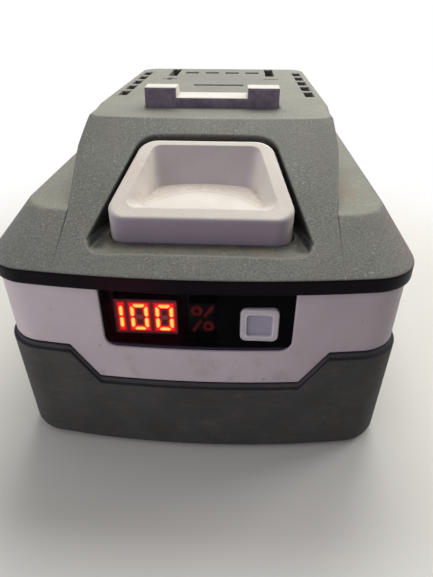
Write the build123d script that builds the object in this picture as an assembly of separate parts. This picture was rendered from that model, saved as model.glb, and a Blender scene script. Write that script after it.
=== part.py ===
"""Slide-on battery pack of a cordless power tool: ten round cells in two layers, in millimetres.

The origin lies on the ground under the middle of the pack and +Z is up. The release button and the
charge display face -Y. The tool's rails enter the side grooves from +Y.
"""
from build123d import *
from math import atan2, cos, pi, sin, sqrt, tan
import os

# Cells: the pack is built round them, so its width, length and height follow from theirs
CELL_RADIUS = 9.1
CELL_LENGTH = 65.2
CELL_COLUMNS = 5
CELL_GAP = 0.9             # between the columns
LAYER_GAP = 0.7            # between the two layers
CELL_END_ROOM = 4.9        # from the end of a cell to the side of the pack
CELL_FRONT_SETBACK = 11.0  # from the front face to the first cell
CELL_REAR_SETBACK = 8.4    # from the last cell to the rear face
CELL_LIFT = 1.0            # cells above the floor
CELL_TOP_GAP = 0.1         # from the top of the cells to the top of the skirt

# Whole pack
PACK_CORNER = 9.0
FRONT_BOW = 3.4            # the front face bows forward by this much over its width
PLATFORM_BOW = 1.7
SKIRT_HEIGHT = 2.8         # dark upright band along the foot of the upper case
SHOULDER_BAND_HEIGHT = 6.0 # sloping band between the skirt and the shoulder
RAIL_GROOVE_HEIGHT = 7.0   # from the shoulder to the underside of the rail's lip
OVERRUN = 2.0              # how far a cutter stands past the face that it opens
FIT_GAP = 0.1              # between pieces that seat in each other
SLIDE_GAP = 0.3            # between a moving piece and its guide

# Upper case
UPPER_WALL = 2.2
PLATFORM_SETBACK = 36.1    # from the front face to the front edge of the platform
PLATFORM_REAR_SETBACK = 1.5
PLATFORM_CORNER = 5.0
NOSE_CORNER = 4.4
NOSE_TOP_WIDTH = 52.0
NOSE_FOOT_WIDTH = 48.4
PLATFORM_WIDTH = 53.4      # over the lips of the two rails
RAIL_NECK_WIDTH = 44.0
RAIL_LIP_HEIGHT = 4.2      # the platform is the top of the lip
RAIL_SETBACK = 8.0         # from the platform's front edge to the closed end of the grooves
RAIL_LEAD_IN = 8.0
PLATFORM_EDGE_RADIUS = 0.7
SHOULDER_EASE = 0.3        # the shoulder's outer edge is cut back by this much
CORE_POCKET_COUNT = 5
CORE_POCKET_WIDTH = 2.2
CORE_POCKET_LENGTH = 6.6
CORE_POCKET_DEPTH = 2.8
CORE_POCKET_EDGE = 1.8     # from the platform's side to the pocket
CORE_POCKET_SETBACK = 25.6 # from the platform's front edge to the first pocket
CORE_POCKET_REAR = 9.0     # from the last pocket to the platform's rear edge
MARK_DEPTH = 0.5
BAR_MARK_WIDTH = 13.8
BAR_MARK_LENGTH = 2.2
BAR_MARK_SETBACK = 41.4
TOP_MARK_WIDTH = 4.2
TOP_MARK_LENGTH = 3.4
TOP_MARK_REAR = 9.4        # from the platform's rear edge to the middle of the four marks
POLE_MARK_LENGTH = 4.2
POLE_MARK_STROKE = 1.1
POLE_MARK_REAR = 22.8

# Pocket round the release button
POCKET_SETBACK = 3.8       # from the front face to the front edge of the pocket
POCKET_REAR_MARGIN = 4.5   # from the pocket to the platform's front edge
POCKET_SIDE_WALL = 3.8     # from the pocket's front end to the side of the nose
POCKET_REAR_WIDTH = 26.4
POCKET_FRONT_CORNER = 3.4
POCKET_REAR_CORNER = 4.2
POCKET_FLOOR_RISE = 1.9    # pocket floor above the top of the skirt
POCKET_FLOOR_EASE = 1.1    # slope between the pocket's floor and its walls
POCKET_WALL = 1.6
POCKET_OPEN_LENGTH = 6.0   # at its rear end the pocket has no floor

# Release latch, one moulding of button, bridge and tongue
BUTTON_REAR_GAP = 0.9
BUTTON_FRONT_GAP = 6.0     # pocket floor in front of the button
BUTTON_SIDE_GAP = 3.2      # beside the front end of the button
BUTTON_TAIL_GAP = 0.5      # beside its rear end
BUTTON_FRONT_CORNER = 3.4
BUTTON_REAR_CORNER = 4.0
BUTTON_FACE_HEIGHT = 4.4   # front face of the button above the pocket floor
BUTTON_FACE_WALL = 1.8
BUTTON_SKIRT_DROP = 1.5    # front wall of the button below the pocket floor
BUTTON_REAR_DROP = 0.05    # rear edge of the button below the slope
BUTTON_EDGE_RADIUS = 0.8
RECESS_RIM_FRONT = 2.5
RECESS_RIM_REAR = 2.1
RECESS_RIM_SIDE = 2.9
RECESS_CORNER = 2.0
RECESS_FLOOR_DROP = 0.9    # recess floor below the front rim, at the sides
RECESS_CROWN = 0.9
RECESS_BACK_LEAN = 4.2
RECESS_FRONT_LEAN = 2.0
RECESS_SIDE_LEAN = 1.8
BRIDGE_THICKNESS = 3.6
BRIDGE_TUCK = 1.7          # the bridge reaches this far under the button
TONGUE_SETBACK = 10.9      # from the platform's front edge
TONGUE_EAR = 1.2           # the bridge is wider than the tongue by this much at each side
TONGUE_THICKNESS = 4.6
TONGUE_HEIGHT = 4.2
TONGUE_RAMP_LENGTH = 4.2
TONGUE_RAMP_DROP = 3.6
TONGUE_EDGE_RADIUS = 0.35
TONGUE_NOTCH_WIDTH = 15.8
TONGUE_NOTCH_DEPTH = 2.1
RELEASE_MARGIN = 0.2       # the pressed tongue ends this far below the platform
GUIDE_LENGTH = 3.0         # ribs in the upper case that guide the latch
GUIDE_WIDTH = 3.3
STOP_GAP = 0.2

# Plate under the latch, its screws and the two springs
RETAINER_THICKNESS = 1.4
RETAINER_EAR_WIDTH = 2.5   # outside the screws
RETAINER_EAR_LENGTH = 2.7  # in front of the first screws
RETAINER_SCREW_REACH = 2.5 # from the side of the rail's neck to a screw
RETAINER_SCREW_LEAD = 1.1  # first screws in front of the button's rear edge
RETAINER_SCREW_TRAIL = 1.7 # last screws behind the front of the tongue
RETAINER_SCREW_SKIN = 1.1  # shoulder left above the tip of a screw
RETAINER_SCREW_RADIUS = 1.2
RETAINER_HEAD_RADIUS = 1.9
RETAINER_HEAD_HEIGHT = 0.8
RETAINER_BOSS_RADIUS = 2.4
SPRING_SPACING = 21.0
SPRING_RADIUS = 2.7        # to the middle of the wire
SPRING_WIRE = 0.5
SPRING_TURNS = 4
SPRING_SEAT_DEPTH = 2.4
SPRING_POST_RADIUS = 1.8
SPRING_POST_HEIGHT = 1.4

# Lower case
LOWER_WALL = 2.4
LOWER_INSET_TOP = 0.7      # lower case inside the line of the skirt
LOWER_INSET_FOOT = 1.3
UNDERSIDE_HEIGHT = 0.5     # the rubber bumper stands below the case
FLOOR_THICKNESS = 2.1
RIM_HEIGHT = 1.2           # rim that centres the upper case
BOSS_RADIUS = 2.2
BOSS_SIDE_SETBACK = 9.0
FRONT_BOSS_SETBACK = 7.9
REAR_BOSS_SETBACK = 5.5
BOSS_SPLIT_DROP = 8.0      # the bosses of both halves meet this far below the parting line
CASE_SCREW_RADIUS = 1.4
CASE_SCREW_HEAD_RADIUS = 2.3
CASE_SCREW_HEAD_HEIGHT = 1.3
CASE_SCREW_TIP = 8.2       # above the split between the bosses
HEAD_SINK = 0.3
LABEL_WIDTH = 40.0
LABEL_LENGTH = 62.0
LABEL_DEPTH = 0.3

# Rubber bumper
BUMPER_THICKNESS = 1.9
BUMPER_INSET_TOP = 0.1
BUMPER_INSET_FOOT = 0.7
BUMPER_DROP = 13.1         # from the parting line to the bumper's corners
BUMPER_DIP = 6.9           # the bumper is this much lower between its corners
BUMPER_FRONT_HORN = 13.9   # width of a raised corner across the front and back
BUMPER_SIDE_HORN = 21.0    # and along the sides
BUMPER_RAMP = 4.9          # run of the ramp from high to low
BUMPER_LEDGE_HEIGHT = 1.0
BUMPER_LEDGE_DEPTH = 0.6
BUMPER_FOOT_RADIUS = 2.2
FOOT_STEPS = 4
FLANGE_WIDTH = 2.2
FLANGE_THICKNESS = 1.2

# Display window and what stands behind it
WINDOW_WIDTH = 33.4
WINDOW_HEIGHT = 12.4
WINDOW_CORNER = 2.1
LENS_RECESS = 0.35
LENS_THICKNESS = 2.0
LENS_FLANGE = 1.0
LENS_FLANGE_THICKNESS = 0.8
DISPLAY_DROP = 7.5         # from the parting line to the middle of the digits
MODULE_CENTRE = -9.45
MODULE_WIDTH = 11.4
MODULE_HEIGHT = 7.4
MODULE_DEPTH = 2.9
MODULE_CORNER = 0.3
BOARD_SETBACK = 7.0        # from the front face to the display board
DIGIT_COUNT = 3
DIGIT_WIDTH = 3.3
DIGIT_HEIGHT = 5.7
DIGIT_PITCH = 4.52
DIGIT_STROKE = 0.8
DIGIT_BREAK = 0.16
DIGIT_RELIEF = 0.15
LAST_DIGIT_CENTRE = -6.05
PERCENT_CENTRE = 0.8
PERCENT_WIDTH = 4.2
PERCENT_HEIGHT = 5.4
PERCENT_STROKE = 0.6
PERCENT_RING_RADIUS = 1.05
PERCENT_BREAK = 1.0
PERCENT_BODY_MARGIN = 0.6
CHECK_CENTRE = 10.75
CHECK_RISE = 1.1           # from the middle of the digits to the middle of the button
CHECK_WIDTH = 6.6
CHECK_CORNER = 1.1
CHECK_PROUD = 0.65
CHECK_EDGE_RADIUS = 0.3
CHECK_DISH_WIDTH = 4.4
CHECK_DISH_DEPTH = 0.45
CHECK_DISH_CORNER = 0.7
CHECK_TRAVEL = 0.5
CHECK_FLANGE_MARGIN = 0.8
CHECK_FLANGE_THICKNESS = 0.8
SWITCH_WIDTH = 6.0
SWITCH_PLUNGER_RADIUS = 1.6
SWITCH_PLUNGER_TAIL = 0.7
SWITCH_PLUNGER_GAP = 0.05
DISPLAY_BOARD_THICKNESS = 1.2
DISPLAY_BOARD_LEFT = 16.2
DISPLAY_BOSS_GAP = 2.3     # between the board's right-hand post and the screw boss
DISPLAY_BOARD_HEIGHT = 12.9
DISPLAY_BOARD_OVER = 7.2   # above the middle of the digits
BOARD_RIB_THICKNESS = 1.0
BOARD_RIB_DEPTH = 1.4

# Ends of the cells, their end frames and the strips that join them
CELL_NUB_RADIUS = 3.0
CELL_NUB_HEIGHT = 0.9
CELL_CRIMP_DEPTH = 0.5
CELL_CRIMP_WIDTH = 1.2
CELL_CRIMP_SETBACK = 2.4
RING_THICKNESS = 0.3
FRAME_DEPTH = 6.0
FRAME_WALL = 0.5
FRAME_GAP = 0.05
STRIP_THICKNESS = 0.3
STRIP_WIDTH = 8.0
STRIP_REACH = 5.0
TAB_WIDTH = 2.4
TAB_INSET = 1.9
TAB_GAP = 0.5              # between two tabs that run beside each other
PAPER_THICKNESS = 0.3
PAPER_MARGIN = 1.0
FOAM_THICKNESS = 0.5
FOAM_WIDTH = 16.0
FOAM_GAP = 8.0

# Main board and what stands on it
BOARD_CLEARANCE = 1.5      # under the board, above the cells
BOARD_THICKNESS = 1.6
BOARD_SIDE_GAP = 1.6       # the board stays this far inside the ends of the cells
BOARD_FRONT_GAP = 0.8      # behind the foot of the tongue
BOARD_REAR_MARGIN = 3.4    # in front of the rear bosses
BOARD_POST_RADIUS = 2.0
BOARD_SCREW_RADIUS = 1.0
BOARD_SCREW_LENGTH = 5.0
BOARD_HEAD_RADIUS = 1.9
BOARD_HEAD_HEIGHT = 0.6
BOARD_POST_INSET = 1.4     # from the board's edge to the middle of a screw
TERMINAL_EDGE = 6.7        # from the side of the rail's neck to the middle of a terminal
TERMINAL_SLOT_WIDTH = 2.6
TERMINAL_SLOT_LENGTH = 16.8
TERMINAL_LIP_HEIGHT = 2.6  # web that closes the slot's rear end at the top
TERMINAL_LIP_THICKNESS = 1.4
TERMINAL_SLOT_SILL = 5.0   # slot floor above the top of the board
TERMINAL_LENGTH = 9.6
TERMINAL_SHEET = 0.6
TERMINAL_FOOT_GAP = 1.2
TERMINAL_THROAT = 0.8
TERMINAL_MOUTH = 1.4
TERMINAL_TOP_GAP = 0.7     # below the underside of the platform
TERMINAL_SLIT = 0.8
SIGNAL_COUNT = 4
SIGNAL_EDGE = 5.55         # from a terminal to the nearest signal contact
SIGNAL_LENGTH = 4.8
SIGNAL_HEIGHT = 8.4
SIGNAL_SLOT_WIDTH = 1.7
SIGNAL_SLOT_HEIGHT = 5.2
SIGNAL_SHEET = 0.35
SIGNAL_FOOT_GAP = 0.7
SIGNAL_THROAT = 0.4
SIGNAL_MOUTH = 0.8
THROAT_LENGTH = 2.0        # from the throat of a contact to its flared end
BLOCK_EDGE = 3.9           # from a terminal to the side of the base
BLOCK_LENGTH = 12.6
BLOCK_HEIGHT = 2.8
BLOCK_GAP = 0.15
BLOCK_LIP = 1.0            # from the board's rear edge to the contacts
TRANSISTOR_PAIR_COUNT = 2  # at each side of the control chip
TRANSISTOR_FIRST = 8.2     # from the middle of the board
TRANSISTOR_PITCH = 7.6
TRANSISTOR_WIDTH = 6.5
TRANSISTOR_LENGTH = 6.1
TRANSISTOR_HEIGHT = 2.3
TRANSISTOR_TAB = 1.2
CHIP_WIDTH = 7.0
CHIP_HEIGHT = 1.4
CHIP_SETBACK = 8.8         # behind the front edge of the board
CHIP_LEG_COUNT = 6
CHIP_LEG_PITCH = 1.0
CHIP_LEG_WIDTH = 0.4
CHIP_LEG_REACH = 0.9
CHIP_LEG_HEIGHT = 0.3
SHUNT_LENGTH = 11.0
SHUNT_WIDTH = 3.0
SHUNT_HEIGHT = 1.8
SHUNT_SHEET = 0.8
SHUNT_SETBACK = 15.9
RESISTOR_COUNT = 8
RESISTOR_PITCH = 3.6
RESISTOR_LENGTH = 2.0
RESISTOR_WIDTH = 1.2
RESISTOR_HEIGHT = 0.6
RESISTOR_SETBACK = 2.4
BEAD_WIDTH = 3.0
BEAD_LENGTH = 2.4
BEAD_CORNER = 0.6
RIBBON_WIDTH = 3.2
RIBBON_THICKNESS = 0.2
RIBBON_START_DROP = 5.0
RIBBON_RISE = 1.0          # above the display board before it turns back
RIBBON_LEAN = 7.0
RIBBON_RAMP = 3.0
RIBBON_END = 3.6
RIBBON_BEND = 1.2

# Sizes and places that follow from the sizes above
CELL_PITCH = 2 * CELL_RADIUS + CELL_GAP
LAYER_PITCH = 2 * CELL_RADIUS + LAYER_GAP
PACK_WIDTH = CELL_LENGTH + 2 * CELL_END_ROOM
PACK_LENGTH = CELL_FRONT_SETBACK + CELL_COLUMNS * CELL_PITCH - CELL_GAP + CELL_REAR_SETBACK
FRONT = -PACK_LENGTH / 2
REAR = PACK_LENGTH / 2
FLOOR_TOP = UNDERSIDE_HEIGHT + FLOOR_THICKNESS
CELL_FRONT = FRONT + CELL_FRONT_SETBACK + CELL_RADIUS
LOWER_LAYER = FLOOR_TOP + CELL_LIFT + CELL_RADIUS
UPPER_LAYER = LOWER_LAYER + LAYER_PITCH
LAYERS = (LOWER_LAYER, UPPER_LAYER)
CELL_TOP = UPPER_LAYER + CELL_RADIUS
SKIRT_TOP = CELL_TOP + CELL_TOP_GAP
PARTING_HEIGHT = SKIRT_TOP - SKIRT_HEIGHT
SHOULDER_HEIGHT = SKIRT_TOP + SHOULDER_BAND_HEIGHT
LIP_BOTTOM = SHOULDER_HEIGHT + RAIL_GROOVE_HEIGHT
PLATFORM_HEIGHT = LIP_BOTTOM + RAIL_LIP_HEIGHT
PLATFORM_FRONT = FRONT + PLATFORM_SETBACK
PLATFORM_REAR = REAR - PLATFORM_REAR_SETBACK
SLOPE = atan2(PLATFORM_HEIGHT - SKIRT_TOP, PLATFORM_SETBACK)
SIDE_SLOPE = atan2(PLATFORM_HEIGHT - SKIRT_TOP, (PACK_WIDTH - NOSE_TOP_WIDTH) / 2)
RAIL_FRONT = PLATFORM_FRONT + RAIL_SETBACK
CORE_POCKET_FRONT = PLATFORM_FRONT + CORE_POCKET_SETBACK
CORE_POCKET_RUN = PLATFORM_REAR - CORE_POCKET_REAR - CORE_POCKET_LENGTH - CORE_POCKET_FRONT
CORE_POCKET_PITCH = CORE_POCKET_RUN / (CORE_POCKET_COUNT - 1)
CEILING = PLATFORM_HEIGHT - UPPER_WALL
SHOULDER_UNDERSIDE = SHOULDER_HEIGHT - UPPER_WALL
BLOCK_HALF_ROOM = RAIL_NECK_WIDTH / 2 - UPPER_WALL
POCKET_FRONT = FRONT + POCKET_SETBACK
POCKET_REAR = PLATFORM_FRONT - POCKET_REAR_MARGIN
POCKET_FRONT_WIDTH = NOSE_FOOT_WIDTH - 2 * POCKET_SIDE_WALL
POCKET_FLOOR = SKIRT_TOP + POCKET_FLOOR_RISE
BUTTON_REAR = POCKET_REAR - BUTTON_REAR_GAP
BUTTON_FRONT = POCKET_FRONT + BUTTON_FRONT_GAP
BUTTON_LENGTH = BUTTON_REAR - BUTTON_FRONT
BUTTON_FRONT_WIDTH = POCKET_FRONT_WIDTH - 2 * BUTTON_SIDE_GAP
BUTTON_REAR_WIDTH = POCKET_REAR_WIDTH - 2 * BUTTON_TAIL_GAP
BUTTON_FRONT_TOP = POCKET_FLOOR + BUTTON_FACE_HEIGHT
LATCH_TRAVEL = TONGUE_HEIGHT + RELEASE_MARGIN
TONGUE_FRONT = PLATFORM_FRONT + TONGUE_SETBACK
TONGUE_REAR = TONGUE_FRONT + TONGUE_THICKNESS + TONGUE_RAMP_LENGTH
TONGUE_TOP = PLATFORM_HEIGHT + TONGUE_HEIGHT
BRIDGE_HALF_WIDTH = BLOCK_HALF_ROOM - GUIDE_WIDTH - SLIDE_GAP
TONGUE_WIDTH = 2 * (BRIDGE_HALF_WIDTH - TONGUE_EAR)
FRAME_TOP = CELL_TOP + FRAME_WALL
FRAME_FRONT = CELL_FRONT - CELL_RADIUS - FRAME_WALL
FRAME_REAR = CELL_FRONT + CELL_PITCH * (CELL_COLUMNS - 1) + CELL_RADIUS + FRAME_WALL
RETAINER_BOTTOM = FRAME_TOP + RETAINER_HEAD_HEIGHT + FIT_GAP
RETAINER_TOP = RETAINER_BOTTOM + RETAINER_THICKNESS
RETAINER_SCREW_LENGTH = SHOULDER_HEIGHT - RETAINER_SCREW_SKIN - RETAINER_BOTTOM
RETAINER_SCREW_SPACING = RAIL_NECK_WIDTH + 2 * RETAINER_SCREW_REACH
RETAINER_WIDTH = RETAINER_SCREW_SPACING + 2 * RETAINER_EAR_WIDTH
BRIDGE_BOTTOM = RETAINER_TOP + LATCH_TRAVEL + STOP_GAP
BRIDGE_TOP = BRIDGE_BOTTOM + BRIDGE_THICKNESS
SPRING_PLACE = (BUTTON_REAR + TONGUE_FRONT) / 2
BOARD_FRONT = TONGUE_REAR + BOARD_FRONT_GAP
BOARD_BOTTOM = CELL_TOP + BOARD_CLEARANCE
BOARD_TOP = BOARD_BOTTOM + BOARD_THICKNESS
BOARD_WIDTH = CELL_LENGTH - 2 * BOARD_SIDE_GAP
BOSS_SPACING = PACK_WIDTH - 2 * BOSS_SIDE_SETBACK
BOSS_SPLIT_HEIGHT = PARTING_HEIGHT - BOSS_SPLIT_DROP
REAR_BOSS = REAR - REAR_BOSS_SETBACK
FRONT_BOSS = FRONT + FRONT_BOSS_SETBACK
BOARD_REAR = REAR_BOSS - BOARD_REAR_MARGIN
SLOT_FLOOR = BOARD_TOP + TERMINAL_SLOT_SILL
TERMINAL_SPACING = RAIL_NECK_WIDTH - 2 * TERMINAL_EDGE
SIGNAL_PITCH = (TERMINAL_SPACING - 2 * SIGNAL_EDGE) / (SIGNAL_COUNT - 1)
BLOCK_WIDTH = TERMINAL_SPACING + 2 * BLOCK_EDGE
CHIP_PLACE = BOARD_FRONT + CHIP_SETBACK
SHUNT_PLACE = BOARD_FRONT + SHUNT_SETBACK
RESISTOR_PLACE = BOARD_FRONT + RESISTOR_SETBACK
BUMPER_HIGH = PARTING_HEIGHT - BUMPER_DROP
BUMPER_LOW = BUMPER_HIGH - BUMPER_DIP
FRONT_DIP_WIDTH = PACK_WIDTH - 2 * BUMPER_FRONT_HORN
SIDE_DIP_WIDTH = PACK_LENGTH - 2 * BUMPER_SIDE_HORN
DISPLAY_HEIGHT = PARTING_HEIGHT - DISPLAY_DROP
DISPLAY_BOARD_RIGHT = BOSS_SPACING / 2 - BOSS_RADIUS - DISPLAY_BOSS_GAP - BOARD_RIB_DEPTH
WINDOW_BOTTOM = PARTING_HEIGHT - WINDOW_HEIGHT
DISPLAY_BOARD_FRONT = FRONT + BOARD_SETBACK
DISPLAY_BOARD_REAR = DISPLAY_BOARD_FRONT + DISPLAY_BOARD_THICKNESS
DISPLAY_BOARD_TOP = DISPLAY_HEIGHT + DISPLAY_BOARD_OVER
DISPLAY_BOARD_BOTTOM = DISPLAY_BOARD_TOP - DISPLAY_BOARD_HEIGHT
MODULE_FRONT = DISPLAY_BOARD_FRONT - MODULE_DEPTH
CHECK_HEIGHT = DISPLAY_HEIGHT + CHECK_RISE
RIBBON_CENTRE = DISPLAY_BOARD_RIGHT - BOARD_RIB_DEPTH / 2 - SLIDE_GAP - RIBBON_WIDTH / 2


def block(x0, x1, y0, y1, z0, z1):
    """Box between two corners."""
    return Pos((x0 + x1) / 2, (y0 + y1) / 2, (z0 + z1) / 2) * Box(abs(x1 - x0), abs(y1 - y0), abs(z1 - z0))


def upright(x, y, z0, z1, radius):
    """Upright cylinder between two heights."""
    return Pos(x, y, (z0 + z1) / 2) * Cylinder(radius, z1 - z0)


def side_prism(points, x0, x1):
    """Prism with a (y, z) outline, from x0 to x1."""
    face = make_face(Polyline([(x0, y, z) for y, z in points], close=True))
    return extrude(face, x1 - x0, dir=(1, 0, 0))


def front_prism(points, y0, y1):
    """Prism with an (x, z) outline, from y0 to y1."""
    face = make_face(Polyline([(x, y0, z) for x, z in points], close=True))
    return extrude(face, y1 - y0, dir=(0, 1, 0))


def outline(half_width, front, rear, corner, bow, z):
    """Plan of the pack at height z: straight sides and back, a bowed front and rounded corners."""
    sides = Polyline((-half_width, front + bow), (-half_width, rear), (half_width, rear), (half_width, front + bow))
    face = make_face(sides + ThreePointArc((half_width, front + bow), (0, front), (-half_width, front + bow)))
    return Pos(0, 0, z) * fillet(face.vertices(), corner)


def pack_outline(inset, z):
    """The pack's own plan, drawn in by an inset."""
    return outline(PACK_WIDTH / 2 - inset, FRONT + inset, REAR - inset, PACK_CORNER - inset, FRONT_BOW, z)


def trapezoid(front_width, rear_width, front, rear, front_corner, rear_corner):
    """Plan of the pocket, the button and its recess: wider in front, with its own radii at each end."""
    corners = [(-front_width / 2, front), (front_width / 2, front), (rear_width / 2, rear), (-rear_width / 2, rear)]
    face = make_face(Polyline(corners, close=True))
    face = fillet(face.vertices().sort_by(Axis.Y)[:2], front_corner)
    return fillet(face.vertices().sort_by(Axis.Y)[-2:], rear_corner)


def slope_height(y):
    """Height of the front slope at the middle of the pack."""
    return SKIRT_TOP + (y - FRONT) * tan(SLOPE)


def slope_outline(z, inset):
    """Plan of the sloping body at height z, drawn in by an inset."""
    rise = z - SKIRT_TOP
    share = rise / (PLATFORM_HEIGHT - SKIRT_TOP)
    half_width = PACK_WIDTH / 2 - rise / tan(SIDE_SLOPE)
    front = FRONT + rise / tan(SLOPE)
    rear = REAR - PLATFORM_REAR_SETBACK * share
    corner = PACK_CORNER + (NOSE_CORNER - PACK_CORNER) * share
    bow = FRONT_BOW + (PLATFORM_BOW - FRONT_BOW) * share
    return outline(half_width - inset, front + inset, rear - inset, corner - inset, bow, z)


def slope_body():
    """Everything under the front slope and the leaning sides, up to the platform."""
    return loft([slope_outline(SKIRT_TOP, 0), slope_outline(PLATFORM_HEIGHT, 0)], ruled=True)


def nose_and_rails():
    """The nose that the button sits in and, behind it, the T-shaped rail with its two lips."""
    nose_right = [(NOSE_FOOT_WIDTH / 2, SKIRT_TOP), (NOSE_FOOT_WIDTH / 2, SHOULDER_HEIGHT),
                  (NOSE_TOP_WIDTH / 2, LIP_BOTTOM), (NOSE_TOP_WIDTH / 2, PLATFORM_HEIGHT)]
    nose_sides = nose_right + [(-x, z) for x, z in reversed(nose_right)]
    nose = slope_body() & front_prism(nose_sides, FRONT, RAIL_FRONT)
    neck_half = RAIL_NECK_WIDTH / 2
    neck = block(-neck_half, neck_half, RAIL_FRONT, PLATFORM_REAR, SHOULDER_HEIGHT, LIP_BOTTOM)
    lip_half = PLATFORM_WIDTH / 2
    right_side = [(lip_half, PLATFORM_REAR), (lip_half, RAIL_FRONT + RAIL_LEAD_IN), (NOSE_TOP_WIDTH / 2, RAIL_FRONT)]
    left_side = [(-x, y) for x, y in reversed(right_side)]
    lip_plan = make_face(Polyline(right_side + left_side, close=True))
    lip_plan = fillet(lip_plan.vertices().sort_by(Axis.Y)[-2:], PLATFORM_CORNER)
    lip = extrude(Pos(0, 0, LIP_BOTTOM) * lip_plan, RAIL_LIP_HEIGHT)
    return nose + neck + lip


def upper_outside():
    """Outer form of the upper case: skirt, shoulder with an eased edge, nose and rails."""
    skirt = extrude(pack_outline(0, PARTING_HEIGHT), SKIRT_HEIGHT)
    ease_foot = SHOULDER_HEIGHT - SHOULDER_EASE
    shoulder = loft([slope_outline(SKIRT_TOP, 0), slope_outline(ease_foot, 0),
                     slope_outline(SHOULDER_HEIGHT, SHOULDER_EASE)], ruled=True)
    body = skirt + shoulder + nose_and_rails()
    top = body.faces().sort_by(Axis.Z)[-1]
    return fillet(top.outer_wire().edges(), PLATFORM_EDGE_RADIUS)


def inner_slope(z):
    """Where the inside of the front slope lies at height z."""
    return FRONT + (z - SKIRT_TOP) / tan(SLOPE) + UPPER_WALL / sin(SLOPE)


def upper_cavity():
    """Room inside the upper case: under the slope and shoulders, and up into the rail block."""
    knee = SKIRT_TOP - UPPER_WALL * (1 / cos(SLOPE) - tan(SLOPE))
    half_width = PACK_WIDTH / 2 - (SHOULDER_UNDERSIDE - SKIRT_TOP) / tan(SIDE_SLOPE) - UPPER_WALL / sin(SIDE_SLOPE)
    ceiling = outline(half_width, inner_slope(SHOULDER_UNDERSIDE), PLATFORM_REAR - UPPER_WALL,
                      PLATFORM_CORNER, FRONT_BOW, SHOULDER_UNDERSIDE)
    foot = pack_outline(UPPER_WALL, PARTING_HEIGHT - OVERRUN)
    low = loft([foot, pack_outline(UPPER_WALL, knee), ceiling], ruled=True)
    start = SHOULDER_UNDERSIDE - FIT_GAP
    rear = PLATFORM_REAR - UPPER_WALL
    high = side_prism([(inner_slope(start), start), (inner_slope(CEILING), CEILING), (rear, CEILING), (rear, start)],
                      -BLOCK_HALF_ROOM, BLOCK_HALF_ROOM)
    return low + high


def pocket_plan(margin):
    """Plan of the pocket round the button, grown by a margin."""
    return trapezoid(POCKET_FRONT_WIDTH + 2 * margin, POCKET_REAR_WIDTH + 2 * margin, POCKET_FRONT - margin,
                     POCKET_REAR + margin, POCKET_FRONT_CORNER + margin, POCKET_REAR_CORNER + margin)


def pocket_room():
    """Cutter for the pocket, with the foot of its walls eased into the floor."""
    eased = POCKET_FLOOR + POCKET_FLOOR_EASE
    opening = Pos(0, 0, eased) * pocket_plan(0)
    foot = loft([Pos(0, 0, POCKET_FLOOR) * pocket_plan(-POCKET_FLOOR_EASE), opening], ruled=True)
    return foot + extrude(opening, PLATFORM_HEIGHT + OVERRUN - eased)


def button_plan(margin):
    """Plan of the release button, grown by a margin."""
    return trapezoid(BUTTON_FRONT_WIDTH + 2 * margin, BUTTON_REAR_WIDTH + 2 * margin, BUTTON_FRONT - margin,
                     BUTTON_REAR + margin, BUTTON_FRONT_CORNER + margin, BUTTON_REAR_CORNER + margin)


def column_places():
    """Middles of the cell columns along Y."""
    return [CELL_FRONT + CELL_PITCH * i for i in range(CELL_COLUMNS)]


def valley(i):
    """Middle of the gap behind cell column i."""
    return CELL_FRONT + CELL_PITCH * (i + 0.5)


def boss_places():
    """Middles of the four case screws."""
    return [(side * BOSS_SPACING / 2, y) for y in (FRONT_BOSS, REAR_BOSS) for side in (-1, 1)]


def retainer_places():
    """Middles of the four screws of the latch retainer."""
    rows = (BUTTON_REAR - RETAINER_SCREW_LEAD, TONGUE_FRONT + RETAINER_SCREW_TRAIL)
    return [(side * RETAINER_SCREW_SPACING / 2, y) for y in rows for side in (-1, 1)]


def signal_places():
    """Middles of the signal slots along X."""
    return [SIGNAL_PITCH * (i - (SIGNAL_COUNT - 1) / 2) for i in range(SIGNAL_COUNT)]


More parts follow.
